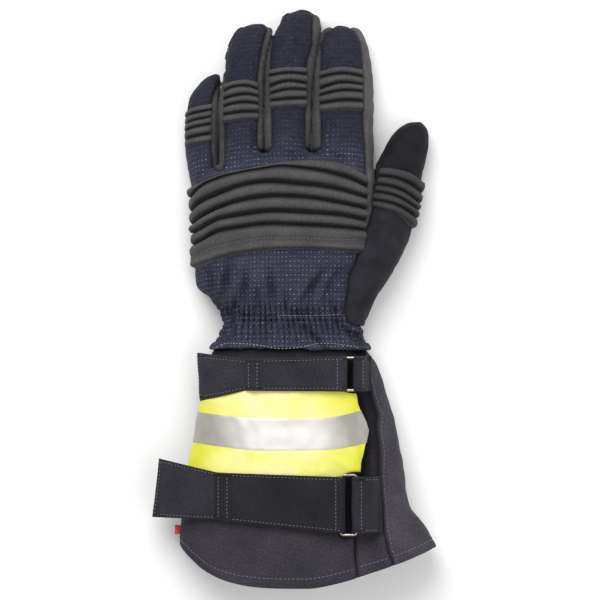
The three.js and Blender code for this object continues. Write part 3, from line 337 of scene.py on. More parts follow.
def grid_faces(rows, cols, start=0, closed=False, flip=False):
    r = np.arange(rows - 1)[:, None]
    c = np.arange(cols if closed else cols - 1)[None, :]
    a, b = r * cols + c, r * cols + (c + 1) % cols
    quads = np.stack([a, b, b + cols, a + cols], -1).reshape(-1, 4) + start
    return quads[:, ::-1] if flip else quads


def slab(upper, lower, flip=False):
    """A closed sheet between two grids of points."""
    rows, cols = upper.shape[:2]
    n = rows * cols
    edge = np.concatenate([np.arange(cols), np.arange(1, rows) * cols + cols - 1,
                           (rows - 1) * cols + np.arange(cols - 2, -1, -1),
                           np.arange(rows - 2, 0, -1) * cols])
    after = np.roll(edge, -1)
    rim = np.stack([edge, edge + n, after + n, after], -1)
    faces = np.concatenate([grid_faces(rows, cols), grid_faces(rows, cols, n, flip=True), rim])
    return np.concatenate([upper.reshape(-1, 3), lower.reshape(-1, 3)]), faces[:, ::-1] if flip else faces


def laid_out(arc, y):
    """Places on the flat cloth for both sides of a slab."""
    weave = np.stack([arc, y, 0 * arc], -1).reshape(-1, 3)
    return np.concatenate([weave, weave])


def round_rings(centres, side, up, sides, radius):
    """Rings of points round the points of a line."""
    a = np.linspace(0, 2 * math.pi, sides, endpoint=False)
    return centres[:, None] + radius * (np.cos(a)[None, :, None] * side[:, None]
                                        + np.sin(a)[None, :, None] * up[:, None])


def joined(parts):
    """The points and faces of several shapes as one."""
    points, faces, start = [], [], 0
    for part_points, part_faces in parts:
        points.append(part_points)
        faces += [[int(v) + start for v in f] for f in part_faces]
        start += len(part_points)
    return np.concatenate(points), faces


def tree_of(*names):
    """What rays and stitches meet: the shapes of some pieces, in mm."""
    points, faces = joined([SHAPES[name] for name in names])
    return BVHTree.FromPolygons(points.tolist(), faces)


def tube(rings):
    """A closed tube from rings of points, with a fan at both ends."""
    rows, cols = rings.shape[:2]
    points = np.concatenate([rings.reshape(-1, 3), rings[:1].mean(1), rings[-1:].mean(1)])
    i = np.arange(cols)
    j = (i + 1) % cols
    n = rows * cols
    last = (rows - 1) * cols
    faces = grid_faces(rows, cols, closed=True).tolist()
    faces += np.stack([j, i, np.full(cols, n)], -1).tolist()
    faces += np.stack([last + i, last + j, np.full(cols, n + 1)], -1).tolist()
    return points, faces


def form_tube(form, table, rows, sides):
    at = np.linspace(table[0, 0], table[-1, 0], rows)[:, None]
    return tube(form.point(at, np.linspace(0, 2 * np.pi, sides, endpoint=False)[None, :]))


def remeshed(parts, voxel, rounds):
    """One even skin round tubes that run into each other: points, normals and faces."""
    points, faces = joined(parts)
    rough = linked("rough", from_arrays(points, faces))
    skin = rough.modifiers.new("skin", "REMESH")
    skin.mode, skin.voxel_size = "VOXEL", voxel
    even = rough.modifiers.new("even", "SMOOTH")
    even.factor, even.iterations = 0.5, rounds
    bpy.context.view_layer.update()
    mesh = bpy.data.meshes.new_from_object(rough.evaluated_get(bpy.context.evaluated_depsgraph_get()))
    bpy.data.objects.remove(rough)
    co, normals = arrays(mesh)
    quads = [list(p.vertices) for p in mesh.polygons]
    bpy.data.meshes.remove(mesh)
    return co, normals, quads


def arrays(mesh):
    n = len(mesh.vertices)
    co, normals = np.empty(n * 3), np.empty(n * 3)
    mesh.vertices.foreach_get("co", co)
    mesh.vertex_normals.foreach_get("vector", normals)
    return co.reshape(-1, 3), normals.reshape(-1, 3)


def from_arrays(co, faces):
    mesh = bpy.data.meshes.new("skin")
    mesh.from_pydata(co.tolist(), [], faces)
    mesh.update()
    return mesh


def cut_along(mesh, field):
    """Cuts a mesh along the line where field(points) is zero."""
    bm = bmesh.new()
    bm.from_mesh(mesh)
    co = np.array([v.co for v in bm.verts])
    value = field(co)
    near = np.abs(value) < 1e-3
    value[near] = 1e-3
    bm.verts.ensure_lookup_table()
    bm.edges.ensure_lookup_table()
    ends = np.array([(e.verts[0].index, e.verts[1].index) for e in bm.edges])
    crossing = np.nonzero(value[ends[:, 0]] * value[ends[:, 1]] < 0)[0]
    on_line = set()
    touched = set()
    for edge in [bm.edges[i] for i in crossing]:
        a, b = edge.verts
        t = value[a.index] / (value[a.index] - value[b.index])
        touched.update(edge.link_faces)
        on_line.add(bmesh.utils.edge_split(edge, a, float(np.clip(t, 0.02, 0.98)))[1])
    for face in sorted(touched, key=lambda face: face.index):
        pair = [v for v in face.verts if v in on_line]
        if len(pair) == 2 and len(face.verts) > 3:
            bmesh.utils.face_split(face, pair[0], pair[1])
    bm.to_mesh(mesh)
    bm.free()
    mesh.update()


def face_centres(mesh):
    centres = np.empty(len(mesh.polygons) * 3)
    mesh.polygons.foreach_get("center", centres)
    return centres.reshape(-1, 3)


def seam_distance(mesh, labels):
    """How far each vertex is from the nearest seam, where the labels of faces change, up to 12 mm."""
    label_of = {}
    seam = set()
    for polygon, label in zip(mesh.polygons, labels):
        for v in polygon.vertices:
            if label_of.setdefault(v, label) != label:
                seam.add(v)
    tree = KDTree(len(seam))
    for i, v in enumerate(sorted(seam)):
        tree.insert(mesh.vertices[v].co, i)
    tree.balance()
    return np.array([min(tree.find(v.co)[2], 12.0) for v in mesh.vertices])


def part_of(mesh, keep, thickness):
    """The faces of a mesh that keep says, thickened inwards into a closed sheet."""
    faces = [list(p.vertices) for p, k in zip(mesh.polygons, keep) if k]
    used = sorted({v for f in faces for v in f})
    number = {v: i for i, v in enumerate(used)}
    co, normals = arrays(mesh)
    upper = co[used]
    lower = upper - normals[used] * thickness
    lower[:, 2] = np.maximum(lower[:, 2], 0.05)
    n = len(used)
    outer = [[number[v] for v in f] for f in faces]
    edges = {}
    for f in outer:
        for a, b in zip(f, f[1:] + f[:1]):
            if (b, a) in edges:
                del edges[(b, a)]
            else:
                edges[(a, b)] = True
    rim = [[b, a, a + n, b + n] for a, b in edges]
    inner = [[v + n for v in reversed(f)] for f in outer]
    return np.concatenate([upper, lower]), outer + inner + rim, used


# Stitches
STITCH_SIDES = 6
STITCH_RINGS = ((0, 0.5, -0.7), (0.15, 0.9, 0.1), (0.5, 1.1, 0.45), (0.85, 0.9, 0.1), (1, 0.5, -0.7))


def track(*points, step=0.5):
    """A line in plan through pixels, as points in mm that are step apart."""
    p = np.array([px(*point) for point in points])
    run = run_along(p)
    at = np.arange(0, run[-1], step)
    return np.stack([spline(run, p[:, 0], at), spline(run, p[:, 1], at)], -1)


def dropped(line, tree):
    """A line in plan, dropped on to a shape from above."""
    hits = [tree.ray_cast(Vector((x, y, 200)), Vector((0, 0, -1)))[0] for x, y in line]
    return np.array([hit for hit in hits if hit is not None])


def stitched(name, lines, tree, material, slot, length=1.6, gap=0.9, radius=0.26):
    """Rows of stitches along lines of points that lie on a shape."""
    stations = [[], [], []]
    for line in lines:
        run = run_along(line)
        first = np.arange(0.4, run[-1] - length, length + gap)
        for i, at in enumerate((first, first + length / 2, first + length)):
            stations[i].append(np.stack([np.interp(at, run, line[:, k]) for k in range(3)], -1))
    starts, middles, ends = [np.concatenate(places) for places in stations]
    normals = np.array([tree.find_nearest(Vector(point))[1] for point in middles])
    if slot != "cuff_fabric":
        normals *= np.where(normals[:, 2:] < -0.3, -1, 1)
    way = unit(ends - starts)
    side = unit(np.cross(normals, way))
    up = np.cross(way, side)
    rings = []
    for share, thick, rise in STITCH_RINGS:
        centre = mix(starts, middles, 2 * share) if share < 0.5 else mix(middles, ends, 2 * share - 1)
        rings.append(round_rings(centre + up * (rise * radius), side, up, STITCH_SIDES, thick * radius))
    points = np.stack(rings, 1)
    size = len(STITCH_RINGS) * STITCH_SIDES
    one = grid_faces(len(STITCH_RINGS), STITCH_SIDES, closed=True).tolist()
    one += [list(range(STITCH_SIDES))[::-1], list(range(size - STITCH_SIDES, size))]
    faces = [[v + size * i for v in f] for i in range(len(points)) for f in one]
    flat = points.reshape(-1, 3)
    put(name, flat, faces, material, slot, weave=flat)


# Materials
class Look:
    """A procedural material. Lengths in its nodes are mm."""
    def __init__(self, name, colour, roughness, **sockets):
        self.material = bpy.data.materials.new(name)
        self.material.use_nodes = True
        self.tree = self.material.node_tree
        self.shader = self.tree.nodes["Principled BSDF"]
        for key, value in dict(sockets, Base_Color=(*colour, 1), Roughness=roughness).items():
            self.shader.inputs[key.replace("_", " ")].default_value = value

    def node(self, kind, *links, **settings):
        made = self.tree.nodes.new("ShaderNode" + kind)
        for key, value in settings.items():
            if hasattr(made, key):
                setattr(made, key, value)
            else:
                made.inputs[key.replace("_", " ")].default_value = value
        for i, source in enumerate(links):
            if isinstance(source, (int, float, tuple)):
                made.inputs[i].default_value = source
            elif source is not None:
                self.tree.links.new(source, made.inputs[i])
        return made.outputs[0]

    def math(self, operation, a, b=0.0, c=0.0):
        return self.node("Math", a, b, c, operation=operation)

    def weave(self):
        return self.node("Attribute", attribute_name="weave").node.outputs["Vector"]

    def axes(self, vector):
        split = self.node("SeparateXYZ", vector).node
        return split.outputs[0], split.outputs[1]
    def fact(self, name):
        """A number that the mesh holds at each point."""
        return self.node("Attribute", attribute_name=name).node.outputs["Fac"]

    def times(self, a, b):
        return self.math("MULTIPLY", a, b)

    def plus(self, a, b):
        return self.math("ADD", a, b)

    def wave(self, value, pitch):
        return self.math("SINE", self.times(value, 2 * math.pi / pitch))

    def noise(self, vector, size, detail=3.0):
        return self.node("TexNoise", vector, Scale=1 / size, Detail=detail)

    def ramp(self, value, low, high, a=0.0, b=1.0):
        return self.node("MapRange", value, low, high, a, b)

    def tint(self, base, factor, colour):
        """base turned towards a colour by factor."""
        made = self.tree.nodes.new("ShaderNodeMix")
        made.data_type = "RGBA"
        self.tree.links.new(factor, made.inputs[0])
        for index, value in ((6, base), (7, colour)):
            if isinstance(value, tuple):
                made.inputs[index].default_value = (*value, 1)
            else:
                self.tree.links.new(value, made.inputs[index])
        return made.outputs[2]

    def shade(self, base, factor):
        """base made darker or lighter by a number from 0 to 2."""
        made = self.tree.nodes.new("ShaderNodeVectorMath")
        made.operation = "SCALE"
        if isinstance(base, tuple):
            made.inputs[0].default_value = base
        else:
            self.tree.links.new(base, made.inputs[0])
        self.tree.links.new(factor, made.inputs["Scale"])
        return made.outputs[0]
    def tone(self, base, value, low, high, dark, light):
        """base made darker or lighter as a value goes from low to high."""
        return self.shade(base, self.ramp(value, low, high, dark, light))

    def finish(self, colour=None, roughness=None, height=None, distance=0.3, strength=0.6):
        if colour is not None:
            self.tree.links.new(colour, self.shader.inputs["Base Color"])
        if roughness is not None:
            self.tree.links.new(roughness, self.shader.inputs["Roughness"])
        if height is not None:
            bump = self.tree.nodes.new("ShaderNodeBump")
            bump.inputs["Strength"].default_value = strength
            bump.inputs["Distance"].default_value = distance / 1000
            self.tree.links.new(height, bump.inputs["Height"])
            self.tree.links.new(bump.outputs[0], self.shader.inputs["Normal"])
        return self.material


def threads(look, x, y, pitch):
    """The over and under of a plain weave, from 0 to 1."""
    return look.ramp(look.times(look.wave(x, pitch), look.wave(y, pitch)), -1, 1)


def dots(look, x, y, wide, high, radius_x, radius_y):
    """Rows of small marks: 1 inside a mark and 0 outside."""
    def off(value, pitch, radius):
        cell = look.math("SUBTRACT", look.math("FRACT", look.math("DIVIDE", value, pitch)), 0.5)
        return look.math("POWER", look.math("DIVIDE", look.math("ABSOLUTE", cell), radius / pitch), 2.0)
    return look.ramp(look.plus(off(x, wide, radius_x), off(y, high, radius_y)), 1.5, 0.5)


def ripstop():
    """Navy cloth with a grid of pale dots, which fade towards the fingertips."""
    look = Look("navy_ripstop", (0.02, 0.025, 0.05), 0.8, Specular_IOR_Level=0.15, Sheen_Weight=0.02)
    where = look.weave()
    drift = look.node("VectorMath", look.noise(where, 14).node.outputs["Color"], operation="SCALE", Scale=1.8)
    x, y = look.axes(look.node("VectorMath", where, drift, operation="ADD"))
    wide, high = 2.64, 3.1
    marks = dots(look, x, y, wide, high, 0.5, 0.34)
    cell = look.node("CombineXYZ", look.math("FLOOR", look.math("DIVIDE", x, wide)),
                     look.math("FLOOR", look.math("DIVIDE", y, high)))
    rows = look.ramp(look.math("ABSOLUTE", look.wave(y, 2 * high / 3)), 0.45, 0.0)
    lines = look.ramp(look.math("ABSOLUTE", look.wave(x, wide)), 0.35, 0.0)
    cloud = look.noise(where, 18)
    speck = look.noise(where, 0.9, 2)
    streaks = look.noise(look.node("VectorMath", where, (0.1, 1.0, 1.0), operation="MULTIPLY"), 1.1, 2)
    faded = look.fact("faded")
    colour = look.tint((0.019, 0.0205, 0.0365), look.ramp(cloud, 0.3, 0.7), (0.033, 0.035, 0.054))
    colour = look.tone(colour, streaks, 0.3, 0.7, 0.68, 1.32)
    net = look.times(look.math("MAXIMUM", rows, look.times(lines, 0.5)), 0.5)
    colour = look.tint(colour, net, (0.07, 0.075, 0.1))
    shown = look.times(marks, look.ramp(faded, 0, 1, 0.9, 0.3))
    shown = look.times(shown, look.ramp(look.node("TexWhiteNoise", cell), 0, 1, 0.15, 1.0))
    shown = look.times(shown, look.ramp(look.noise(where, 7, 2), 0.35, 0.62, 0.45, 1.0))
    shown = look.times(shown, look.ramp(speck, 0.25, 0.6, 0.5, 1.0))
    colour = look.tint(colour, shown, (0.3, 0.31, 0.39))
    colour = look.tone(colour, speck, 0.3, 0.7, 0.75, 1.25)
    colour = look.tone(colour, faded, 0, 1, 1, 0.52)
    # Painted shade: darker along the seams, in the gathers and folds, and over the inner side.
    colour = look.tone(colour, look.fact("cavity"), 0, 1, 1, 0.3)
    height = look.plus(look.times(marks, 0.6), threads(look, x, y, 0.9))
    return look.finish(colour, look.ramp(cloud, 0.2, 0.8, 0.72, 0.88), height, 0.22, 0.5)


def knit(name, dark, light):
    """A charcoal stretch fabric with a fine grain, darkened with painted shade in its grooves and along its
    seams.
    """
    look = Look(name, light, 0.8, Specular_IOR_Level=0.15, Sheen_Weight=0.06)
    where = look.weave()
    x, y = look.axes(where)
    fine = threads(look, look.plus(x, y), look.math("SUBTRACT", x, y), 0.8)
    cloud = look.noise(where, 16, 4)
    speck = look.noise(where, 0.7, 2)
    colour = look.tint(dark, look.ramp(cloud, 0.3, 0.7), light)
    colour = look.tone(colour, fine, 0, 1, 0.86, 1.1)
    colour = look.tone(colour, speck, 0.3, 0.7, 0.7, 1.26)
    colour = look.tone(colour, look.noise(where, 1.6, 2), 0.3, 0.7, 0.82, 1.18)
    colour = look.tone(colour, look.fact("cavity"), 0, 1, 1, 0.1)
    return look.finish(colour, look.ramp(cloud, 0.2, 0.8, 0.78, 0.92), look.plus(fine, speck), 0.2, 0.6)


def suede():
    look = Look("black_suede", (0.014, 0.013, 0.017), 0.9, Specular_IOR_Level=0.15, Sheen_Weight=0.03)
    where = look.weave()
    nap = look.noise(where, 0.9, 3)
    cloud = look.ramp(look.noise(where, 12, 5), 0.3, 0.75)
    colour = look.tint((0.012, 0.0112, 0.0155), cloud, (0.028, 0.026, 0.033))
    colour = look.tone(colour, nap, 0.3, 0.7, 0.8, 1.2)
    colour = look.tone(colour, look.fact("faded"), 0, 1, 1, 0.55)
    # Painted shade along the seams and over the inner side.
    colour = look.tone(colour, look.fact("cavity"), 0, 1, 1, 0.4)
    return look.finish(colour, look.ramp(nap, 0.2, 0.8, 0.78, 0.95), nap, 0.25, 0.5)


def twill(name, dark, light, pitch):
    """Slanting ribs, made lighter on the straps' tabs and worn edges and with painted light on the cuff's
    more lit panels, and darker with painted shade in its hollows and along its seams.
    """
    look = Look(name, light, 0.88, Specular_IOR_Level=0.15, Sheen_Weight=0.03)
    where = look.weave()
    x, y = look.axes(where)
    rib = look.ramp(look.wave(look.plus(x, look.times(y, 0.8)), pitch), -1, 1)
    cloud = look.noise(where, 26, 4)
    speck = look.noise(where, 0.8, 2)
    colour = look.tint(dark, look.ramp(cloud, 0.3, 0.7), light)
    colour = look.tone(colour, rib, 0, 1, 0.86, 1.1)
    colour = look.tone(colour, speck, 0.3, 0.7, 0.74, 1.24)
    colour = look.tone(colour, look.noise(where, 1.7, 2), 0.3, 0.7, 0.8, 1.2)
    # Lighter on the straps' tabs and worn edges, and painted light on the cuff's more lit panels.
    colour = look.tone(colour, look.fact("worn"), 0, 1, 1, 1.75)
    # Painted shade in the hollows, along the seams and where the flare and rings shade the cuff.
    colour = look.tone(colour, look.fact("cavity"), 0, 1, 1, 0.08)
    return look.finish(colour, look.ramp(cloud, 0.2, 0.8, 0.8, 0.92), look.plus(rib, speck), 0.16, 0.5)


def middle_of(look, where, low, high):
    """1 halfway across the panel and 0 at its sides."""
    share = look.ramp(look.axes(where)[0], low, high)
    return look.math("SINE", look.times(share, math.pi))


def fluorescent():
    # The weak emission paints a glow on the cloth, standing in for its fluorescence.
    look = Look("fluorescent_yellow", (0.8, 0.88, 0.03), 0.6, Sheen_Weight=0.1,
                Emission_Color=(0.85, 0.8, 0.05, 1), Emission_Strength=0.1)
    where = look.weave()
    fine = threads(look, *look.axes(where), 0.7)
    cloud = look.noise(where, 26, 3)
    # Paler in the middle of the panel: a painted highlight.
    pale = look.times(middle_of(look, where, 3, 112), look.ramp(cloud, 0.3, 0.65, 0.3, 1.0))
    colour = look.tint((0.62, 0.63, 0.012), pale, (0.9, 0.79, 0.44))
    colour = look.tone(colour, fine, 0, 1, 0.95, 1.02)
    return look.finish(colour, look.ramp(cloud, 0.2, 0.8, 0.55, 0.68), fine, 0.08, 0.4)


def reflective():
    look = Look("silver_tape", (0.62, 0.61, 0.58), 0.45, Metallic=0.2, Sheen_Weight=0.1)
    where = look.weave()
    beads = look.node("TexVoronoi", where, Scale=2.2)
    cloud = look.noise(where, 18, 4)
    # Brighter in the middle of the stripe and darker at its sides: a painted highlight.
    middle = look.ramp(middle_of(look, where, 4, 110), 0.3, 0.8)
    colour = look.tint((0.35, 0.335, 0.305), middle, (0.68, 0.655, 0.635))
    colour = look.tone(colour, cloud, 0.3, 0.7, 0.9, 1.06)
    colour = look.tone(colour, beads, 0, 0.6, 1.04, 0.96)
    return look.finish(colour, look.ramp(cloud, 0.2, 0.8, 0.4, 0.55), beads, 0.06, 0.4)


def steel():
    look = Look("ring_steel", (0.66, 0.6, 0.56), 0.26, Metallic=1.0)
    where = look.weave()
    scratch = look.noise(where, 0.6, 3)
    worn = look.noise(where, 5, 4)
    colour = look.tint((0.52, 0.46, 0.42), look.ramp(worn, 0.4, 0.7), (0.24, 0.205, 0.185))
    return look.finish(colour, look.ramp(worn, 0.3, 0.7, 0.2, 0.42), scratch, 0.03, 0.3)


def thread(name, dark, light):
    look = Look(name, light, 0.6, Sheen_Weight=0.3)
    ply = look.ramp(look.math("SINE", look.times(look.plus(*look.axes(look.weave())), 9.0)), -1, 1)
    colour = look.tint(dark, ply, light)
    return look.finish(colour, look.ramp(ply, 0, 1, 0.5, 0.7), ply, 0.05, 0.5)


def woven_red():
    look = Look("red_tab", (0.42, 0.03, 0.035), 0.6, Sheen_Weight=0.3)
    fine = threads(look, *look.axes(look.weave()), 0.6)
    colour = look.tint((0.6, 0.07, 0.07), fine, (0.85, 0.13, 0.12))
    return look.finish(colour, look.ramp(fine, 0, 1, 0.55, 0.75), fine, 0.1, 0.5)


def paper():
    look = Look("studio_floor", (0.93, 0.93, 0.93), 0.9)
    cloud = look.node("TexNoise", look.node("TexCoord").node.outputs["Object"], Scale=3.0, Detail=2.0)
    return look.finish(look.tint((0.93, 0.93, 0.93), cloud, (0.95, 0.95, 0.95)))


NAVY = ripstop()
CHARCOAL = knit("charcoal_knit", (0.05, 0.048, 0.05), (0.08, 0.075, 0.077))
PAD_CLOTH = knit("charcoal_pad", (0.064, 0.061, 0.063), (0.09, 0.086, 0.088))
THUMB_PAD_CLOTH = knit("charcoal_thumb_pad", (0.042, 0.04, 0.043), (0.064, 0.061, 0.064))
# A lighter copy of the charcoal for the strip down the index finger's outer side: painted light on its lit
# side.
LIT_EDGE_CLOTH = knit("charcoal_painted_lit_edge", (0.076, 0.071, 0.073), (0.118, 0.108, 0.11))
SUEDE = suede()
CUFF_CLOTH = twill("cuff_twill", (0.028, 0.0255, 0.034), (0.046, 0.041, 0.051), 1.0)
WEBBING = twill("strap_webbing", (0.011, 0.0105, 0.014), (0.0195, 0.0183, 0.0232), 0.8)
YELLOW = fluorescent()
SILVER = reflective()
STEEL = steel()
GREY_THREAD = thread("grey_thread", (0.1, 0.096, 0.104), (0.2, 0.19, 0.204))
PALE_THREAD = thread("pale_thread", (0.2, 0.21, 0.25), (0.42, 0.43, 0.48))
DARK_THREAD = thread("dark_thread", (0.07, 0.07, 0.074), (0.14, 0.14, 0.145))
RED = woven_red()

# The skin of the hand and its four fingers
STRIPS = {  # inner edges of the strips along the sides of the fingers
    "pinky_right": along((190, 40), (200, 66), (221, 72), (221, 77), (218.5, 84), (214.5, 92),
                         (211.8, 104), (210.6, 119), (211.6, 149), (214, 172)),
    "ring_left": along((262, 8), (246, 23), (236, 33), (228.5, 46), (225, 62), (224, 85), (224, 150),
                       (224, 172)),
    "ring_right": along((285, 8), (270, 20), (267, 26), (266.5, 32), (263.5, 43), (260, 60), (258, 80),
                        (257.8, 150)),
    "middle_left": along((305, 0), (294, 9), (281, 18), (273.5, 30), (270, 50), (269.5, 68), (270.5, 100),
                         (271.5, 150)),
    "middle_right": along((330, 4), (314, 12), (312.8, 18), (312.8, 44), (307, 62), (306, 100),
                          (305.8, 150)),
    "index_left": along((350, 14), (334, 25), (324.5, 33), (320.5, 44), (320, 70), (320, 110),
                        (321, 150)),
    "outer": along((344, 20), (355, 30), (360.5, 42), (363, 60), (363, 110), (364, 130), (366, 160),
                   (366.5, 190), (365, 215), (363, 240), (358, 262), (352, 285), (347, 300), (345, 312),
                   (352, 322), (380, 330)),
}
CROTCHES = {"fourchette_pinky_ring": ("pinky_right", "ring_left", 170),
            "fourchette_ring_middle": ("ring_right", "middle_left", 151.5),
            "fourchette_middle_index": ("middle_right", "index_left", 151)}


def web_field(left, right, bottom):
    """Negative inside the U between two fingers, seen from above."""
    end = (ORIGIN_Y - bottom) * PIXEL
    def field(p):
        a, b = STRIPS[left](p[:, 1]), STRIPS[right](p[:, 1])
        middle, half = (a + b) / 2, np.maximum((b - a) / 2, 0.3)
        straight = np.abs(p[:, 0] - middle) - half
        round_end = np.hypot(p[:, 0] - middle, p[:, 1] - end - half) - half
        return np.where(p[:, 1] > end + half, straight, round_end)
    return field


def palm_field(p):
    """Negative under the lower seam, which climbs over the fingertips."""
    t = smooth(p[:, 1], 0.5 * HAND_LENGTH, 0.62 * HAND_LENGTH)
    seam = mix(0.2 * HAND_HEIGHT, 0.17 * FINGER_HEIGHT, t)
    rise = 0 * seam
    for table in FINGERS.values():
        tip = table[-1, 0] * HAND_LENGTH
        left, right = (table[4:7, 1].min() - 0.09) * HAND_WIDTH, table[4:7, 2].max() * HAND_WIDTH
        inside = (p[:, 0] > left) & (p[:, 0] < right)
        rise = np.where(inside, np.maximum(rise, 4 * smooth(p[:, 1], tip - 13, tip)), rise)
    return p[:, 2] - seam - rise


def outer_field(p):
    """Negative on the strip down the outer side of the index finger."""
    return STRIPS["outer"](p[:, 1]) - p[:, 0]


def hem_field(p):
    """Negative past the lower edge of the wrist flare."""
    x = p[:, 0]
    edge = -14.2 - 1.2 * np.sin(x / 17.0) + 0.5 * np.sin(x / 5.3 + 1)
    return p[:, 1] - edge


HAND_FOLDS = [  # x and y of start and end in pixels, depth and width in mm
    (324, 270, 302, 302, 3.6, 2.4), (303, 326, 329, 350, 3.0, 2.0), (299, 312, 304, 330, 1.6, 1.6),
    (229, 266, 220, 300, 3.8, 2.8), (246, 272, 242, 303, 3.0, 2.4), (270, 270, 273, 306, 3.2, 2.8),
    (338, 272, 322, 304, 2.0, 2.2), (207, 270, 214, 298, 2.8, 2.8), (286, 292, 284, 314, 2.4, 1.9),
    (330, 300, 341, 320, 2.0, 1.7), (236, 296, 233, 314, 2.0, 1.8), (256, 290, 258, 314, 2.2, 1.8),
    (313, 288, 308, 312, 1.8, 1.6), (336, 320, 362, 347, 2.6, 1.9), (350, 330, 372, 345, 2.0, 1.7),
    (300, 160, 286, 152, 1.2, 3.0), (345, 164, 330, 156, 1.2, 3.0)]
GATHER_PITCH, GATHER_HIGH, GATHER_ROW_PITCH = 3.7, 3.6, 4.2
ELASTIC_ROWS = (12.5, 8.5, 4.2, 0.0, -3.5)


def gathers(p):
    """How strongly the wrist's elastic gathers the cloth, and its ridges from -0.6 to 0.4."""
    x, y, z = p.T
    side = x + np.sign(x) * np.clip(0.7 * HAND_HEIGHT - z, 0, None)
    wander = waves(np.stack([0.5 * side, 0.35 * y, 0 * y], -1), 14, 6, 6)
    strength = np.exp(-(((y - 5.5) / 10.5) ** 4)) + 0.35 * bell(y + 8, 5)
    strength *= 1 - 0.75 * smooth(x, 31, 37) * smooth(y, -5, 1)
    ridge = np.abs(np.sin(side * math.pi / GATHER_PITCH + 1.1 * wander)) ** 0.8 - 0.6
    bumps = 0.75 + 0.35 * np.sin(y * 2 * math.pi / GATHER_ROW_PITCH + 0.8 * wander)
    return strength, ridge * bumps, side


def hand_relief(p, normals):
    """How far the cloth of the hand stands out: folds, gathers and a soft unevenness."""
    x, y, z = p.T
    up = smooth(normals[:, 2], -0.2, 0.5)
    loose = smooth(y, 0, 12) * (1 - smooth(y, 34, 46))
    relief = (0.35 + 0.7 * loose) * waves(p * [1, 0.6, 1], 17, 9, 3) + 0.16 * waves(p, 7, 9, 4)
    relief *= smooth(y, -20, 10)
    relief += up * folds(p, HAND_FOLDS)
    strength, ridge, side = gathers(p)
    fine = np.sin(side * math.pi / 1.45 + 1.7 * waves(np.stack([side, y, 0 * y], -1), 9, 6, 7))
    relief += strength * (GATHER_HIGH * ridge + 0.35 * fine)
    relief += 0.9 * strength * waves(np.stack([side, 0.6 * y, 0 * y], -1), 8, 6, 8)
    relief -= bell(y - 4.5, 7)
    for row in ELASTIC_ROWS:
        relief -= 0.7 * strength * bell(y - row, 0.8)
    # The hem of the flare
    hem = -hem_field(p)
    relief += 0.5 * smooth(hem, -5.2, -4.4) - 0.5 * bell(hem + 4.9, 0.7)
    return relief


def skin_of(parts, relief):
    """The even skin round some tubes, with its relief, standing on the table."""
    co, normals, quads = remeshed(parts, voxel=0.85, rounds=5)
    co = co + normals * relief(co, normals)[:, None]
    co[:, 2] = np.maximum(co[:, 2], 0.02)
    return from_arrays(co, quads)


hand_parts = [form_tube(hand, HAND, 70, 96)]
hand_parts += [form_tube(fingers[name], FINGERS[name], 50, 48) for name in fingers]
hand_skin = skin_of(hand_parts, hand_relief)
web_fields = {name: web_field(*spec) for name, spec in CROTCHES.items()}
for field in (hem_field, palm_field, *web_fields.values(), outer_field):
    cut_along(hand_skin, field)
centres = face_centres(hand_skin)
labels = np.full(len(centres), "back_shell", dtype=object)
labels[outer_field(centres) < 0] = "index_side_strip"
for name, field in web_fields.items():
    labels[field(centres) < 0] = name
labels[palm_field(centres) < 0] = "palm_shell"
labels[hem_field(centres) < 0] = ""


def merge_islands(mesh, labels, small=400):
    """Gives small islands of a side wall, cut off by the seams, to the panel round them."""
    by_edge = {}
    for polygon in mesh.polygons:
        for key in polygon.edge_keys:
            by_edge.setdefault(key, []).append(polygon.index)
    around = [[] for _ in labels]
    for pair in by_edge.values():
        if len(pair) == 2:
            around[pair[0]].append(pair[1])
            around[pair[1]].append(pair[0])
    seen = np.zeros(len(labels), bool)
    for first in range(len(labels)):
        if seen[first] or labels[first] in ("back_shell", "palm_shell", ""):
            continue
        island, seen[first] = [first], True
        for face in island:
            for other in around[face]:
                if not seen[other] and labels[other] == labels[first]:
                    seen[other] = True
                    island.append(other)
        if len(island) < small:
            labels[island] = "back_shell"


merge_islands(hand_skin, labels)


def sink_seams(mesh, labels, depth=0.9, width=1.1, puff=None):
    """Pulls the cloth in along its seams and lets the panels swell between them."""
    distance = seam_distance(mesh, labels)
    co, normals = arrays(mesh)
    lift = -depth * bell(distance, width) + 0.35 * smooth(distance, 1.0, 4.0)
    if puff is not None:
        lift += puff(co) * smooth(distance, 0.3, 1.8)
    co = co + normals * lift[:, None]
    co[:, 2] = np.maximum(co[:, 2], 0.02)
    mesh.vertices.foreach_set("co", co.ravel())
    mesh.update()
    return distance


def strip_puff(p):
    """How much more the strips along the fingers swell."""
    inside = np.min([field(p) for field in web_fields.values()] + [outer_field(p)], axis=0) < 0
    return np.where(inside & (p[:, 1] > 0) & (palm_field(p) > 0), 0.55, 0.0)


seam_away = sink_seams(hand_skin, labels, puff=strip_puff)


def cloth_weave(points):
    """Places on the flat cloth, in mm, so that a weave isn't stretched where it goes over a side."""
    x, y, z = points.T
    drop = np.clip(0.72 * HAND_HEIGHT - z, 0, None)
    return np.stack([x + np.sign(x) * 0.8 * drop, y + 0.25 * drop, z], -1)


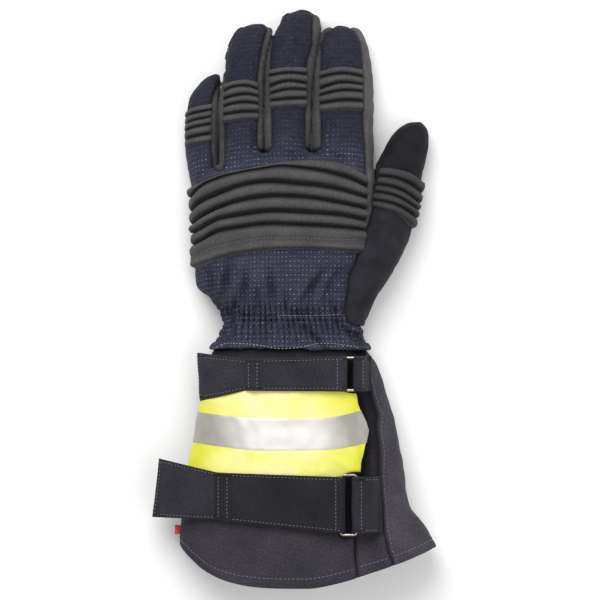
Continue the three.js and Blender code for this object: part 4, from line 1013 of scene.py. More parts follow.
HAND_PIECES = {"back_shell": (NAVY, "shell_fabric"), "palm_shell": (SUEDE, "palm_leather"),
               "index_side_strip": (LIT_EDGE_CLOTH, "side_wall_fabric"),
               **{name: (CHARCOAL, "side_wall_fabric") for name in CROTCHES}}
for name, (material, slot) in HAND_PIECES.items():
    points, faces, used = part_of(hand_skin, labels == name, 1.1)
    # Painted shade along the seams, in the gathers and folds of the back, and over the inner side.
    cavity = 0.8 * bell(seam_away[used], 0.9)
    upper = points[:len(used)]
    if name == "back_shell":
        strength, ridge, _ = gathers(upper)
        hollow_shade = 0.9 * strength * smooth(-ridge, -0.1, 0.45) + 0.22 * np.clip(-folds(upper, HAND_FOLDS), 0, 3)
        cavity = np.clip(cavity + hollow_shade * smooth(upper[:, 2], 8, 18), 0, 1)
    cavity = np.concatenate([cavity, np.ones(len(used))])
    # Darker towards the fingertips, with fainter dots there.
    faded = smooth(points[:, 1], 105, 140) * (name != "palm_shell")
    weave = cloth_weave(points)
    bent = 0.4 * spline(HAND[:, 0], HAND[:, 4], points[:, 1] / HAND_LENGTH) * HAND_LENGTH
    weave[:, 1] += bent * np.clip(-points[:, 0] / 65, 0, 1.2) ** 2
    put(name + "_cloth", points, faces, material, slot, name, 55, weave=weave, cavity=cavity, faded=faded)

# The thumb, trimmed where it runs into the hand
hand_points = arrays(hand_skin)[0].tolist()
hand_tree = BVHTree.FromPolygons(hand_points, [list(p.vertices) for p in hand_skin.polygons])


def off_hand(p):
    """Distance outside the hand's skin, less a small gap."""
    away = np.empty(len(p))
    for i, point in enumerate(p):
        hit, normal, _, distance = hand_tree.find_nearest(Vector(point))
        side = 1 if (Vector(point) - hit).dot(normal) > 0 else -1
        away[i] = side * distance
    return away - 0.25


THUMB_FOLDS = [
    (378, 222, 402, 246, 1.3, 2.4), (372, 226, 392, 222, 1.6, 2.0), (366, 300, 352, 322, 1.2, 2.5),
    (380, 262, 366, 290, 0.7, 2.5), (388, 236, 404, 232, 0.8, 1.8), (364, 316, 356, 332, 1.4, 2.0)]


def thumb_relief(p, normals):
    up = smooth(normals[:, 2], -0.2, 0.5)
    return 0.3 * waves(p, 15, 9, 11) + 0.14 * waves(p, 6, 9, 12) + up * folds(p, THUMB_FOLDS)


def thumb_seam(p):
    return p[:, 2] - 0.36 * spline(THUMB[:, 0], THUMB[:, 4], p[:, 1] / HAND_LENGTH) * THUMB_HEIGHT


thumb_edge = along((405, 118), (398, 131), (391, 145), (386, 155), (381.5, 165), (378.5, 180), (375, 195),
                   (371, 215), (366, 240))

thumb_skin = skin_of([form_tube(thumb, THUMB, 60, 56)], thumb_relief)
cut_along(thumb_skin, off_hand)
cut_along(thumb_skin, thumb_seam)
centres = face_centres(thumb_skin)
thumb_labels = np.where(thumb_seam(centres) > 0, "thumb_back", "thumb_palm").astype(object)
thumb_labels[off_hand(centres) < 0] = ""
thumb_away = sink_seams(thumb_skin, thumb_labels, 0.7, 1.0)
for name in ("thumb_back", "thumb_palm"):
    points, faces, used = part_of(thumb_skin, thumb_labels == name, 1.1)
    # Painted shade along the seam and over the inner side.
    cavity = np.concatenate([bell(thumb_away[used], 0.9), np.ones(len(used))])
    put(name + "_cloth", points, faces, SUEDE, "palm_leather", name, 55,
        weave=cloth_weave(points), cavity=0.8 * cavity, faded=smooth(points[:, 1], 50, 100))

# Ribbed pads
PAD_INSET = 0.3
PAD_ROWS = 14


def patch(form, curves, right, left, cols, per_curve):
    """Grids of at and angle on a form whose rows run along curves y(x), given from the lower edge up.
    right and left are an angle, or the x of the edge as a function of y."""
    rows = (len(curves) - 1) * per_curve + 1
    v = np.linspace(0, len(curves) - 1, rows)[:, None]
    u = np.linspace(0, 1, cols)[None, :]
    low = np.clip(np.floor(v).astype(int), 0, len(curves) - 2)
    row, column = np.arange(rows)[:, None], np.arange(cols)[None, :]
    y = np.zeros((rows, cols)) + curves[len(curves) // 2](np.array(0.0))
    at = y / form.scale
    for _ in range(8):
        ends = []
        for edge, side in ((right, 0), (left, -1)):
            if callable(edge):
                ends.append(form.angle_at(at[:, side], edge(y[:, side]))[:, None])
            else:
                ends.append(np.full((rows, 1), edge * math.pi))
        angle = mix(ends[0], ends[1], u)
        p = form.point(at, angle)
        stack = np.stack([curve(p[..., 0]) for curve in curves])
        y = mix(stack[low, row, column], stack[low + 1, row, column], v - low)
        at = at + (y - p[..., 1]) / form.scale
    return at, angle, v


def ribbed_pad(name, form, curves, right, left, cols, rib, base, seed, soft_left=False, side_share=0.85,
               material=PAD_CLOTH, shallow=None):
    """A pad with a rib between each two of its curves. shallow is the place of a rib that sinks less."""
    at, angle, v = patch(form, curves, right, left, cols, PAD_ROWS)
    flat = form.point(at, angle, 1.0)
    u = np.linspace(0, 1, cols)[None, :]
    arc = arcs(flat)
    span = arc[:, -1].mean()
    last = len(curves) - 1
    t = np.where(v >= last - 1e-9, 1.0, v - np.floor(v + 1e-9))
    index = np.minimum(np.floor(v + 1e-9), last - 1).astype(int)
    side = np.minimum(u * span / 3.2, (1 - u) * span / (6.0 if soft_left else 3.2))
    edge = np.clip(side, 0, 1) ** 0.5
    strength = 1 + 0.12 * np.random.default_rng(seed).normal(size=len(curves))
    round_top = np.sin(np.pi * np.clip(t, 0, 1) ** 0.85) ** 0.6
    near = 0 * v if shallow is None else smooth(1 - np.abs(v - shallow) / 0.7, 0, 0.5)
    round_top = mix(round_top, np.maximum(round_top, 0.8), near)
    lean = 1 + 0.3 * (t - 0.5)
    lift = base + rib * strength[index] * round_top * lean * mix(0.35, 1, edge)
    if soft_left:
        lift = lift * mix(1, side_share, smooth(angle, 0.72 * math.pi, 0.9 * math.pi))
    lift = lift + (0.22 * waves(flat, 13, 7, seed + 1) + 0.1 * waves(flat, 4, 7, seed + 2)) * round_top
    outside = np.minimum(v, last - v)
    rim = np.minimum(np.minimum(u, 1 - u) * span, outside * 5)
    lift = lift - 1.5 * np.clip(1 - rim / 1.2, 0, 1) ** 1.5 * (base + 0.6)
    upper = form.point(at, angle, lift)
    lower = form.point(at, angle, -1.6 + 0 * lift)
    upper[..., 2] = np.maximum(upper[..., 2], 0.3)
    lower[..., 2] = np.maximum(lower[..., 2], 0.2)
    points, faces = slab(upper, lower)
    # Painted shade in the grooves between the ribs and over the underside, less on the shallow rib.
    groove = bell(t, 0.25) + bell(1 - t, 0.17) + 0.65 * bell(t, 0.4)
    cavity = np.clip(groove, 0, 1) * smooth(outside, 0.0, 0.35) * (1 - 0.8 * near) + 0 * u
    piece = put(name + "_ribs", points, faces, material, "pad_fabric", name,
                weave=laid_out(arc, flat[..., 1]),
                cavity=np.concatenate([cavity.ravel(), np.ones(cavity.size)]))


KNUCKLE_CURVES = curves(
    [(180, 275), (193, 270), (210, 264), (220, 260.5), (240, 255), (260, 252), (280, 250.5), (300, 250),
     (330, 251), (350, 253), (366, 255)],
    [(180, 262), (195, 258), (205, 254), (240, 244), (260, 240.5), (300, 240), (350, 242), (366, 241)],
    [(180, 248), (195, 245), (205, 240), (220, 232), (240, 228), (260, 225), (300, 225.5), (350, 229),
     (366, 231)],
    [(180, 238), (193, 234), (203, 229), (220, 220), (240, 216), (270, 212), (300, 213), (340, 216),
     (366, 221.5)],
    [(180, 230), (193, 225), (203, 218), (220, 209), (240, 202), (260, 198), (300, 197.5), (340, 204),
     (367, 210)],
    [(180, 219), (193, 212), (200, 205), (220, 195), (240, 187), (260, 183), (300, 185), (320, 187),
     (340, 191), (367, 199)],
    [(180, 206), (193, 197), (200, 189), (220, 178), (240, 172.5), (260, 169), (280, 166), (300, 168),
     (330, 173.5), (350, 180), (367, 188)],
    [(180, 196), (190, 187), (203, 182), (220, 175), (240, 170), (260, 166), (280, 162), (300, 160.5),
     (330, 161), (350, 166), (367, 177)])
ribbed_pad("knuckle_pad", hand, KNUCKLE_CURVES, beside(STRIPS["outer"], -0.4), 1.06, 150, 3.2, 0.9, 21, True,
           shallow=1)
RING_PAD = curves(
    [(222, 124), (240, 121), (260, 119.5)],
    [(222, 115.5), (240, 112.5), (260, 112)],
    [(222, 107.5), (235, 103.5), (247, 102.5), (260, 104.5)],
    [(222, 101), (235, 96), (247, 94.5), (260, 97.5)],
    [(222, 93), (234, 87), (245, 85.8), (260, 91)],
    [(222, 84), (235, 80), (247, 79), (260, 82)])
MIDDLE_PAD = curves(
    [(269, 109), (290, 107.5), (307, 108)],
    [(269, 101), (290, 99), (307, 98.5)],
    [(269, 94.5), (288, 89.5), (307, 89.8)],
    [(269, 88), (286, 81.5), (307, 84)],
    [(269, 76), (288, 73), (307, 74.5)],
    [(269, 69), (288, 66), (307, 67)])
INDEX_PAD = curves(
    [(319, 112.5), (345, 111), (364, 111.5)],
    [(319, 104), (345, 100.5), (364, 101.5)],
    [(319, 96), (342, 90.5), (364, 91.5)],
    [(319, 90), (340, 83), (364, 85)],
    [(319, 77.5), (345, 73.5), (364, 77.5)],
    [(319, 71), (338, 66), (364, 68.5)])
PINKY_PAD = curves(
    [(186, 148.5), (190, 147), (210, 141.5)],
    [(186, 139.5), (190, 138), (210, 133.5)],
    [(186, 131), (190, 129), (210, 123.5)],
    [(186, 124), (190, 122), (210, 116.5)],
    [(186, 117), (190, 115), (210, 109.5)],
    [(186, 110), (190, 108), (210, 103)])
ribbed_pad("pinky_pad", fingers["pinky"], PINKY_PAD, beside(STRIPS["pinky_right"], -PAD_INSET), 1.04, 44,
           2.0, 0.8, 31, True, side_share=0.35)
for finger, ribs, left, right, seed in (("ring", RING_PAD, "ring_left", "ring_right", 41),
                                        ("middle", MIDDLE_PAD, "middle_left", "middle_right", 51),
                                        ("index", INDEX_PAD, "index_left", "outer", 61)):
    ribbed_pad(finger + "_finger_pad", fingers[finger], ribs, beside(STRIPS[right], -PAD_INSET),
               beside(STRIPS[left], PAD_INSET), 44, 2.0, 0.8, seed)
THUMB_PAD = curves(
    [(374, 207), (385, 210), (395, 214), (413, 230), (420, 237)],
    [(374, 200), (386, 202), (398, 206), (416, 219), (424, 226)],
    [(374, 191.5), (385, 193), (395, 196), (419, 212), (428, 219)],
    [(376, 184), (388, 186), (400, 190), (420, 205), (430, 212)],
    [(378, 176), (388, 176.5), (395, 178), (405, 182), (421, 194), (431, 202)],
    [(380, 167), (387, 167), (400, 169), (410, 172), (421, 179.5), (432, 188)])
ribbed_pad("thumb_pad", thumb, THUMB_PAD, -0.04, beside(thumb_edge, PAD_INSET), 70, 2.0, 0.9, 71,
           material=THUMB_PAD_CLOTH)

# The cuff
GUSSET_LEFT = along((352, 340), (355, 380), (360, 410), (362, 430), (360, 460), (357, 500), (357, 540),
                    (359, 600))
GUSSET_RIGHT = along((364, 345), (368, 370), (374, 385), (380, 405), (383.5, 415), (383.5, 480), (383, 500),
                     (384, 520), (385.5, 535), (389, 550), (392, 560), (400, 585))
CUFF_FOLDS = [
    (357, 528, 358, 562, 2.2, 2.2), (398, 486, 408, 497, 1.6, 2.5), (392, 495, 404, 492, 1.2, 2.0),
    (230, 540, 260, 566, 0.8, 5.0), (300, 548, 340, 572, 0.8, 6.0), (384, 420, 386, 500, 0.8, 4.0),
    (395, 500, 420, 535, 0.9, 5.0), (374, 352, 384, 380, 1.1, 3.0), (366, 350, 372, 376, 1.2, 2.2),
    (186, 530, 200, 560, 0.7, 3.5), (372, 356, 392, 440, 1.3, 2.6), (398, 440, 404, 484, 1.0, 3.0),
    (388, 470, 392, 520, 0.9, 2.6), (366, 392, 374, 408, 1.6, 1.8), (352, 540, 364, 576, 0.9, 4.0),
    (400, 520, 420, 560, 0.8, 3.5), (376, 400, 394, 452, 1.1, 2.4), (384, 372, 390, 402, 0.9, 2.6),
    (370, 470, 376, 524, 1.4, 2.0), (366, 440, 372, 470, 1.4, 1.8)]
CUFF_ROWS = np.linspace(CUFF[0, 0], CUFF[-1, 0], 118)[:, None]
CUFF_SEAM = 0.3 * CUFF_HEIGHT
HEM_BAND = 6.5
# How much lighter each panel of the cuff is painted: painted light, most on the side panel where more light
# falls.
PANEL_PAINTED_LIGHT = {"cuff_back": 0.0, "cuff_gusset": 0.1, "cuff_side": 0.55, "cuff_palm": 0.22}
RING_GAPS = [(346, 356, 354, 393), (342, 353, 474, 536)]  # left, right, top and bottom in pixels
cuff_grids = {}


def gusset_line(y):
    return CUFF_WIDTH * (0.272 + 0.03 * np.sin(np.pi * np.clip(-y / CUFF_LENGTH, 0, 1)))


def gusset_fold(x, y):
    """How deep the gusset is folded in between the back of the cuff and its side."""
    left, right = GUSSET_LEFT(y), GUSSET_RIGHT(y)
    share = np.clip((x - left) / (right - left), 0, 1)
    down = ORIGIN_Y - y / PIXEL
    deep = 3.0 + 7.0 * bell(down - 412, 26) + 4.5 * bell(down - 462, 30)
    deep = deep * (1 - 0.75 * smooth(down, 500, 575))
    return deep * np.sin(np.pi * share ** 1.35) ** 0.9


def cuff_relief(p, angle):
    """How far the cloth of the cuff stands out from its plain form."""
    x, y = p[..., 0], p[..., 1]
    top = np.clip(2 * np.sin(angle), 0, 1)
    part = -y / CUFF_LENGTH
    strength = bell(part - 0.42, 0.2) + 0.35 * bell(part - 0.88, 0.12)
    valley = strength * GUSSET_DEPTH * bell(x - gusset_line(y), GUSSET_WIDTH)
    uneven = 0.5 * waves(p, 34, 8, 81) + 0.2 * waves(p, 12, 8, 82)
    return uneven + top * (folds(p, CUFF_FOLDS) - valley - gusset_fold(x, y))


def cuff_sweep():
    """For each row of the cuff, the angles of its seams."""
    dense = np.linspace(-0.3, math.pi + 0.3, 900)
    p = cuff.point(CUFF_ROWS, dense[None, :])
    half, top = len(dense) // 2, slice(649, 99, -1)

    def crossing(values, angles, level=0.0):
        return np.array([np.interp(level, row, angles) for row in values])[:, None]
    return {"gusset_left": crossing((p[..., 0] - GUSSET_LEFT(p[..., 1]))[:, top], dense[top]),
            "gusset_right": crossing((p[..., 0] - GUSSET_RIGHT(p[..., 1]))[:, top], dense[top]),
            "right": crossing(p[:, :half, 2], dense[:half], CUFF_SEAM),
            "left": crossing(p[:, half:, 2][:, ::-1], dense[half:][::-1], CUFF_SEAM)}


def covered(p):
    """How dark the cuff is where it lies in the shade of the flare or of a ring."""
    x, y = p[..., 0] / PIXEL + ORIGIN_X, ORIGIN_Y - p[..., 1] / PIXEL
    flare = 0.85 * (1 - smooth(y, 351, 362))
    rings = [smooth(x, left - 5, left) * (1 - smooth(x, right, right + 5)) * smooth(y, top - 3, top)
             * (1 - smooth(y, bottom, bottom + 3)) for left, right, top, bottom in RING_GAPS]
    return np.maximum(flare, np.maximum(*rings))


def cuff_panel(name, start, end, cols):
    """One panel of the cuff between two seams, with its rolled seams and stitched hem."""
    angle = mix(start, end, np.linspace(0, 1, cols)[None, :])
    flat = cuff.point(CUFF_ROWS, angle)
    arc = arcs(flat)
    edge = np.minimum(arc, arc[:, -1:] - arc)
    hem = (CUFF[-1, 0] - CUFF_ROWS) * CUFF_LENGTH + 0 * edge
    relief = cuff_relief(flat, angle)
    relief += 0.35 * smooth(edge, 0.6, 3) - 0.35 * bell(edge - 3.4, 0.6)
    relief -= 1.1 * np.clip(1 - edge / 1.5, 0, 1) ** 2
    relief += 0.45 * smooth(HEM_BAND - hem, -0.8, 0.4) - 0.4 * bell(hem - HEM_BAND + 1.6, 0.6)
    thin = 0.75 * np.clip(1 - hem / 1.4, 0, 1) ** 2
    upper = cuff.point(CUFF_ROWS, angle, relief - thin)
    lower = cuff.point(CUFF_ROWS, angle, np.minimum(relief, 0) - CUFF_WALL + thin)
    upper[..., 2] = np.maximum(upper[..., 2], 0.02)
    lower[..., 2] = np.maximum(lower[..., 2], 0.4)
    points, faces = slab(upper, lower, flip=True)
    # Painted shade along the seams, in the gusset's fold and where the flare and rings shade the cuff, and a
    # little over the inner side.
    fold = gusset_fold(flat[..., 0], flat[..., 1]) * (flat[..., 2] > CUFF_SEAM)
    cavity = 0.85 * bell(edge, 1.1) + 0.11 * fold + covered(flat) * (name != "cuff_palm")
    cavity = np.clip(cavity, 0, 1).ravel()
    cuff_grids[name] = (upper, arc, hem)
    put(name + "_cloth", points, faces, CUFF_CLOTH, "cuff_fabric", name, weave=laid_out(arc, flat[..., 1]),
        cavity=np.concatenate([cavity, 0.2 + 0 * cavity]), worn=np.full(2 * len(cavity), PANEL_PAINTED_LIGHT[name]))


seams = cuff_sweep()
TURN_GAP = 0.0003
cuff_panel("cuff_back", seams["gusset_left"] + TURN_GAP, seams["left"] - TURN_GAP, 118)
cuff_panel("cuff_gusset", seams["gusset_right"] + TURN_GAP, seams["gusset_left"] - TURN_GAP, 20)
cuff_panel("cuff_side", seams["right"] + TURN_GAP, seams["gusset_right"] - TURN_GAP, 44)
cuff_panel("cuff_palm", seams["left"] + TURN_GAP, seams["right"] + 2 * math.pi - TURN_GAP, 110)

# Fluorescent panel and the reflective stripe on it
PANEL_RIGHT = along((352, 380), (357, 402), (361, 412), (366, 422), (368.5, 430), (366.5, 440),
                    (363.5, 452), (361, 462), (360, 480))
PANEL_CURVES = curves(
    [(180, 470), (217, 477), (260, 480), (326, 480), (338, 476), (345, 472.5), (370, 472)],
    [(190, 388), (240, 386), (320, 386), (334, 388), (344, 392), (370, 393)])
STRIPE_CURVES = curves(
    [(185, 440), (196, 442), (220, 445.5), (250, 449), (300, 449.5), (335, 448), (358, 444), (370, 442)],
    [(190, 410), (203, 412), (230, 415.5), (300, 418), (335, 416), (357, 411), (370, 408)])
PANEL_FOLDS = [
    (345, 440, 358, 466, 0.7, 3.5), (206, 398, 232, 404, 0.8, 3.0), (330, 456, 352, 470, 0.8, 2.5),
    (330, 400, 346, 420, 0.6, 4.0)]
PANEL_DIP, PANEL_LIFT, STRIPE_LIFT, STRIPE_THICKNESS = 2.0, 0.9, 1.85, 0.35


def panel_relief(p, angle):
    """How far the panel stands out: it follows the cuff but bridges its deep folds."""
    uneven = 0.35 + 0.25 * (1 + waves(p, 22, 7, 91)) + 0.1 * waves(p, 9, 7, 92)
    return np.maximum(cuff_relief(p, angle), -PANEL_DIP) + uneven - folds(p, PANEL_FOLDS)


def laid(name, curves, right, rows, base, thickness, material, slot):
    """A cloth that lies on the back of the cuff, with its flat width and height."""
    at, angle, v = patch(cuff, curves, right, 1.0, 120, rows)
    flat = cuff.point(at, angle)
    arc = arcs(flat)
    tall = np.linalg.norm(flat[-1] - flat[0], axis=-1)[None, :]
    edge = np.minimum(np.minimum(arc, arc[:, -1:] - arc), np.minimum(v, 1 - v) * tall)
    under = base + panel_relief(flat, angle)
    lift = under + thickness - 0.6 * thickness * np.clip(1 - edge / 0.8, 0, 1) ** 2
    points, faces = slab(cuff.point(at, angle, lift), cuff.point(at, angle, under))
    piece = put(name + "_cloth", points, faces, material, slot, name, weave=laid_out(arc, flat[..., 1]))
    return piece, float(arc[:, -1].mean()), float(tall.mean())


panel, panel_wide, panel_tall = laid("reflective_panel", PANEL_CURVES, PANEL_RIGHT, 74, PANEL_LIFT,
                                     PANEL_THICKNESS, YELLOW, "fluorescent_fabric")
stripe = laid("reflective_stripe", STRIPE_CURVES, beside(PANEL_RIGHT, -0.1), 24, STRIPE_LIFT,
              STRIPE_THICKNESS, SILVER, "reflective_tape")[0]

# Straps, their rings and the loops that hold the rings
STRAP_INSET, FOLD_START, FOLD_STEP, TAB_CURL = 0.95, 0.12, 8, 0.6
STITCH_INSET, LOOP_STITCH, WIRE_SIDES = 1.85, 3.2, 16
SEWN_RUN, SEWN_LIFT = 8, 0.2
STRAPS = [  # stations: at across the cuff, at along it, and share of the width
    dict(name="wrist", width=22, leaves=-0.3, tab_drop=1.1, anchor_end=0.299, slant=-2.2, wear=0.8,
         stations=np.array([(-0.365, 0.189, 1.44), (-0.19, 0.18, 0.95), (0.187, 0.176, 1.05)]),
         bar_out=-0.9, band=(247, 259)),
    dict(name="cuff", width=36, leaves=-0.33, tab_drop=0.5, anchor_end=0.34, slant=4.5, wear=0.1,
         stations=np.array([(-0.55, 0.614, 1.1), (-0.299, 0.645, 0.86), (0.18, 0.678, 1.02)]),
         bar_out=1.2, band=(217, 229)),
]
BORDER = [0.83, 0.87, 0.9, 0.93, 0.96, 0.985, 1]
EDGES = np.concatenate([[-side for side in BORDER[::-1]], np.linspace(-0.76, 0.76, 13), BORDER])
under_strap = 2 * CLEARANCE + PANEL_THICKNESS
layer_step = STRAP_THICKNESS + CLEARANCE
fold_radius = RING_WIRE / 2 + CLEARANCE + STRAP_THICKNESS / 2


def cuff_top(x, y):
    at = -y / CUFF_LENGTH
    for _ in range(6):
        row = cuff_section(at)
        q = np.clip((2 * x - row["left"] - row["right"]) / (row["right"] - row["left"]), -1, 1)
        at = (-y + cuff_bend(row, q)) / CUFF_LENGTH
    row = cuff_section(at)
    waist = mix(row["low"], row["high"], WAIST)
    return waist + (row["high"] - waist) * (1 - np.abs(q) ** DOME_POWER) ** (1 / DOME_POWER)


def strap_rest(x, y):
    top = cuff_top(STRAP_INSET * np.asarray(x, float), np.asarray(y, float))
    return top + under_strap + STRAP_THICKNESS / 2


def strap_at(spec, x):
    at = np.asarray(x, float) / CUFF_WIDTH
    stations = spec["stations"]
    middle = np.interp(at, stations[:, 0], stations[:, 1])
    width = np.interp(at, stations[:, 0], stations[:, 2])
    return -middle * CUFF_LENGTH, width * spec["width"]


def left_wire(spec):
    return spec["stations"][-1, 0] * CUFF_WIDTH


def right_wire(spec):
    return left_wire(spec) + RING_WIDTH - RING_WIRE


def wire_height(spec, y):
    x = left_wire(spec)
    middle, width = strap_at(spec, x)
    near, far = middle - width / 2, middle + width / 2
    def height(at):
        return max(float(strap_rest(x, at)), float(strap_rest(right_wire(spec), at))) + fold_radius
    return mix(height(near), height(far), (y - near) / (far - near)) + CLEARANCE


def half_turn(wire_x, y, wire_z, start, end):
    """The middle line of webbing round a wire."""
    a = np.linspace(start, end, 13)[1:-1]
    return np.stack([wire_x + fold_radius * np.cos(a), y + 0 * a, wire_z + fold_radius * np.sin(a)], -1)


def folded_path(spec, side):
    """The middle line of a strap at one share of its width, from its sewn end round the ring to the tab."""
    wire_x = left_wire(spec)
    end, start = spec["stations"][0, 0] * CUFF_WIDTH, spec["stations"][1, 0] * CUFF_WIDTH
    end = end + spec["slant"] * (1 + side) / 2
    leaves = spec["leaves"] * CUFF_WIDTH
    sewn = mix(start, wire_x, FOLD_START)

    def y_at(x):
        middle, width = strap_at(spec, x)
        return middle + side * width / 2

    def upper_z(x):
        step = layer_step * smooth(x, sewn - FOLD_STEP, sewn - STRAP_THICKNESS)
        on_wire = wire_height(spec, y_at(x)) + fold_radius
        return mix(strap_rest(x, y_at(x)) + step, on_wire, smooth(x, sewn, wire_x))
    x = np.linspace(sewn, wire_x, 40)
    rest = strap_rest(x, y_at(x))
    low = mix(rest, wire_height(spec, y_at(x)) - fold_radius, smooth(x, sewn, wire_x))
    lower = np.stack([x, y_at(x), np.maximum(rest, low)], -1)
    y = y_at(wire_x)
    turn = half_turn(wire_x, y, wire_height(spec, y), -math.pi / 2, math.pi / 2)
    x = np.linspace(wire_x, leaves, 74)
    upper = np.stack([x, y_at(x), upper_z(x)], -1)
    x = np.linspace(leaves, end, 24)[1:]
    out = leaves - x
    drop = spec["tab_drop"] * out * mix(TAB_CURL, 1, out / (leaves - end))
    tab = np.stack([x, y_at(x), upper_z(np.array([leaves])) - drop], -1)
    return np.concatenate([lower, turn, upper, tab])


def anchor_path(spec, side):
    """The middle line of the loop that holds a ring: out to it, round it and back, both ends sewn down."""
    wire_x, end = right_wire(spec), spec["anchor_end"] * CUFF_WIDTH
    middle, width = strap_at(spec, left_wire(spec))
    y = middle + side * width / 2
    wire_z = wire_height(spec, y)
    x = np.linspace(end, wire_x, 16)
    ys = y + 0 * x
    settle = smooth(x, wire_x, end)
    rest = strap_rest(x, y)
    hits = dropped(np.stack([x, ys], -1), cuff_tree)
    cloth = np.interp(x, hits[::-1, 0], hits[::-1, 2]) + STRAP_THICKNESS / 2 + SEWN_LIFT
    sewn = 1 - smooth(x, end - SEWN_RUN, end - 1)
    low = mix(cloth, mix(wire_z - fold_radius, rest, settle), sewn)
    step = layer_step * np.hypot(1, np.gradient(low, x))
    high = mix(cloth + step, mix(wire_z + fold_radius, rest + step, settle), sewn)
    turn = half_turn(wire_x, y, wire_z, 1.5 * math.pi, math.pi / 2)
    return np.concatenate([np.stack([x, ys, low], -1), turn, np.stack([x, ys, high], -1)[::-1]])


def webbing(node, path_of, spec, seed, sign, worn, extra=None):
    """A strap between its middle lines, with rounded edges. extra(path) is how much thicker it is on top."""
    path = np.stack([path_of(spec, side) for side in EDGES], 1)
    ahead = np.gradient(path, axis=0)
    normal = unit(np.stack([-ahead[..., 2], 0 * ahead[..., 0], ahead[..., 0]], -1))
    width = np.abs(path[:, -1:, 1] - path[:, :1, 1])
    edge = (1 - np.abs(EDGES))[None, :] * width / 2
    run = run_along(path[:, len(EDGES) // 2])[:, None]
    border = np.minimum(edge, np.minimum(run, run[-1] - run))
    half = STRAP_THICKNESS / 2 * (1 - 0.65 * np.clip(1 - border / 0.9, 0, 1) ** 2)
    half = half - 0.22 * bell(border - STITCH_INSET, 0.55)
    ripple = 0.18 * waves(path, 16, 6, seed)
    ripple = ripple + 0.1 * np.sin(run * 2 * math.pi / 4.4) * bell(border - 1.2, 1.4)
    more = extra(path) if extra else 0 * half
    outer = path + normal * (sign * (half + more) + ripple)[..., None]
    inner = path + normal * (-sign * half + ripple)[..., None]
    points, faces = slab(outer, inner)
    # Painted shade in the sunken line of the stitches.
    cavity = 0.5 * bell(border - STITCH_INSET, 0.6).ravel()
    wear = (worn(path[..., 0]) + 0.5 * bell(border, 0.7)).ravel()
    put(node + "_webbing", points, faces, WEBBING, "strap_webbing", node,
        weave=laid_out(run + 0 * edge, path[..., 1]), cavity=np.concatenate([cavity, cavity]),
        worn=np.concatenate([wear, wear]))
    return outer


def wire_ring(spec):
    """The bent wire, as a closed tube round a rounded rectangle."""
    left, right = left_wire(spec), right_wire(spec)
    middle, width = strap_at(spec, left)
    tall = width / 2 + spec["bar_out"]
    corners = [(left, middle - tall), (right, middle - tall), (right, middle + tall), (left, middle + tall)]
    corners = [np.array([x, y, wire_height(spec, y)]) for x, y in corners]
    line = []
    for i, here in enumerate(corners):
        before, after = corners[i - 1], corners[(i + 1) % 4]
        into, out = here + unit(before - here) * RING_CORNER, here + unit(after - here) * RING_CORNER
        t = np.linspace(0, 1, 9)[:, None]
        line.append((1 - t) ** 2 * into + 2 * t * (1 - t) * here + t * t * out)
        next_into = after + unit(here - after) * RING_CORNER
        line.append(mix(out, next_into, np.linspace(0, 1, 14)[1:-1, None]))
    line = np.concatenate(line)
    forward = unit(np.roll(line, -1, 0) - np.roll(line, 1, 0))
    outward = unit(np.cross([0, 0, 1], forward))
    rings = round_rings(line, outward, np.cross(forward, outward), WIRE_SIDES, WIRE_RADIUS)
    faces = grid_faces(len(rings) + 1, WIRE_SIDES, closed=True) % (len(rings) * WIRE_SIDES)
    points = rings.reshape(-1, 3)
    node = spec["name"] + "_ring"
    put(node + "_wire", points, faces, STEEL, "ring_metal", node, 80, weave=points)


def side_lines(grid, width, *ends):
    """Lines of stitches along both sides of a strap's top, between two places x."""
    share = 1 - STITCH_INSET / (width / 2)
    for side in (-share, share):
        line = np.stack([[np.interp(side, EDGES, row[:, k]) for row in grid] for k in range(3)], -1)
        yield line[(line[:, 0] >= min(ends)) & (line[:, 0] <= max(ends))]


def stitch_columns(grid, width):
    """The lines along a strap's top that lie inside its border."""
    return [grid[:, k] for k in np.nonzero(np.abs(EDGES) < 1 - STITCH_INSET / (width / 2) + 0.02)[0]]


def cross_line(grid, width, x):
    """A line of stitches across a strap's top."""
    line = []
    for path in stitch_columns(grid, width):
        path = path[np.argsort(path[:, 0])]
        line.append([x] + [np.interp(x, path[:, 0], path[:, k]) for k in (1, 2)])
    return np.array(line)


def end_line(grid, width):
    """A line of stitches along the free end of a strap's tab."""
    line = []
    for path in stitch_columns(grid, width):
        run = run_along(path)
        line.append([np.interp(run[-1] - STITCH_INSET, run, path[:, k]) for k in range(3)])
    return np.array(line)


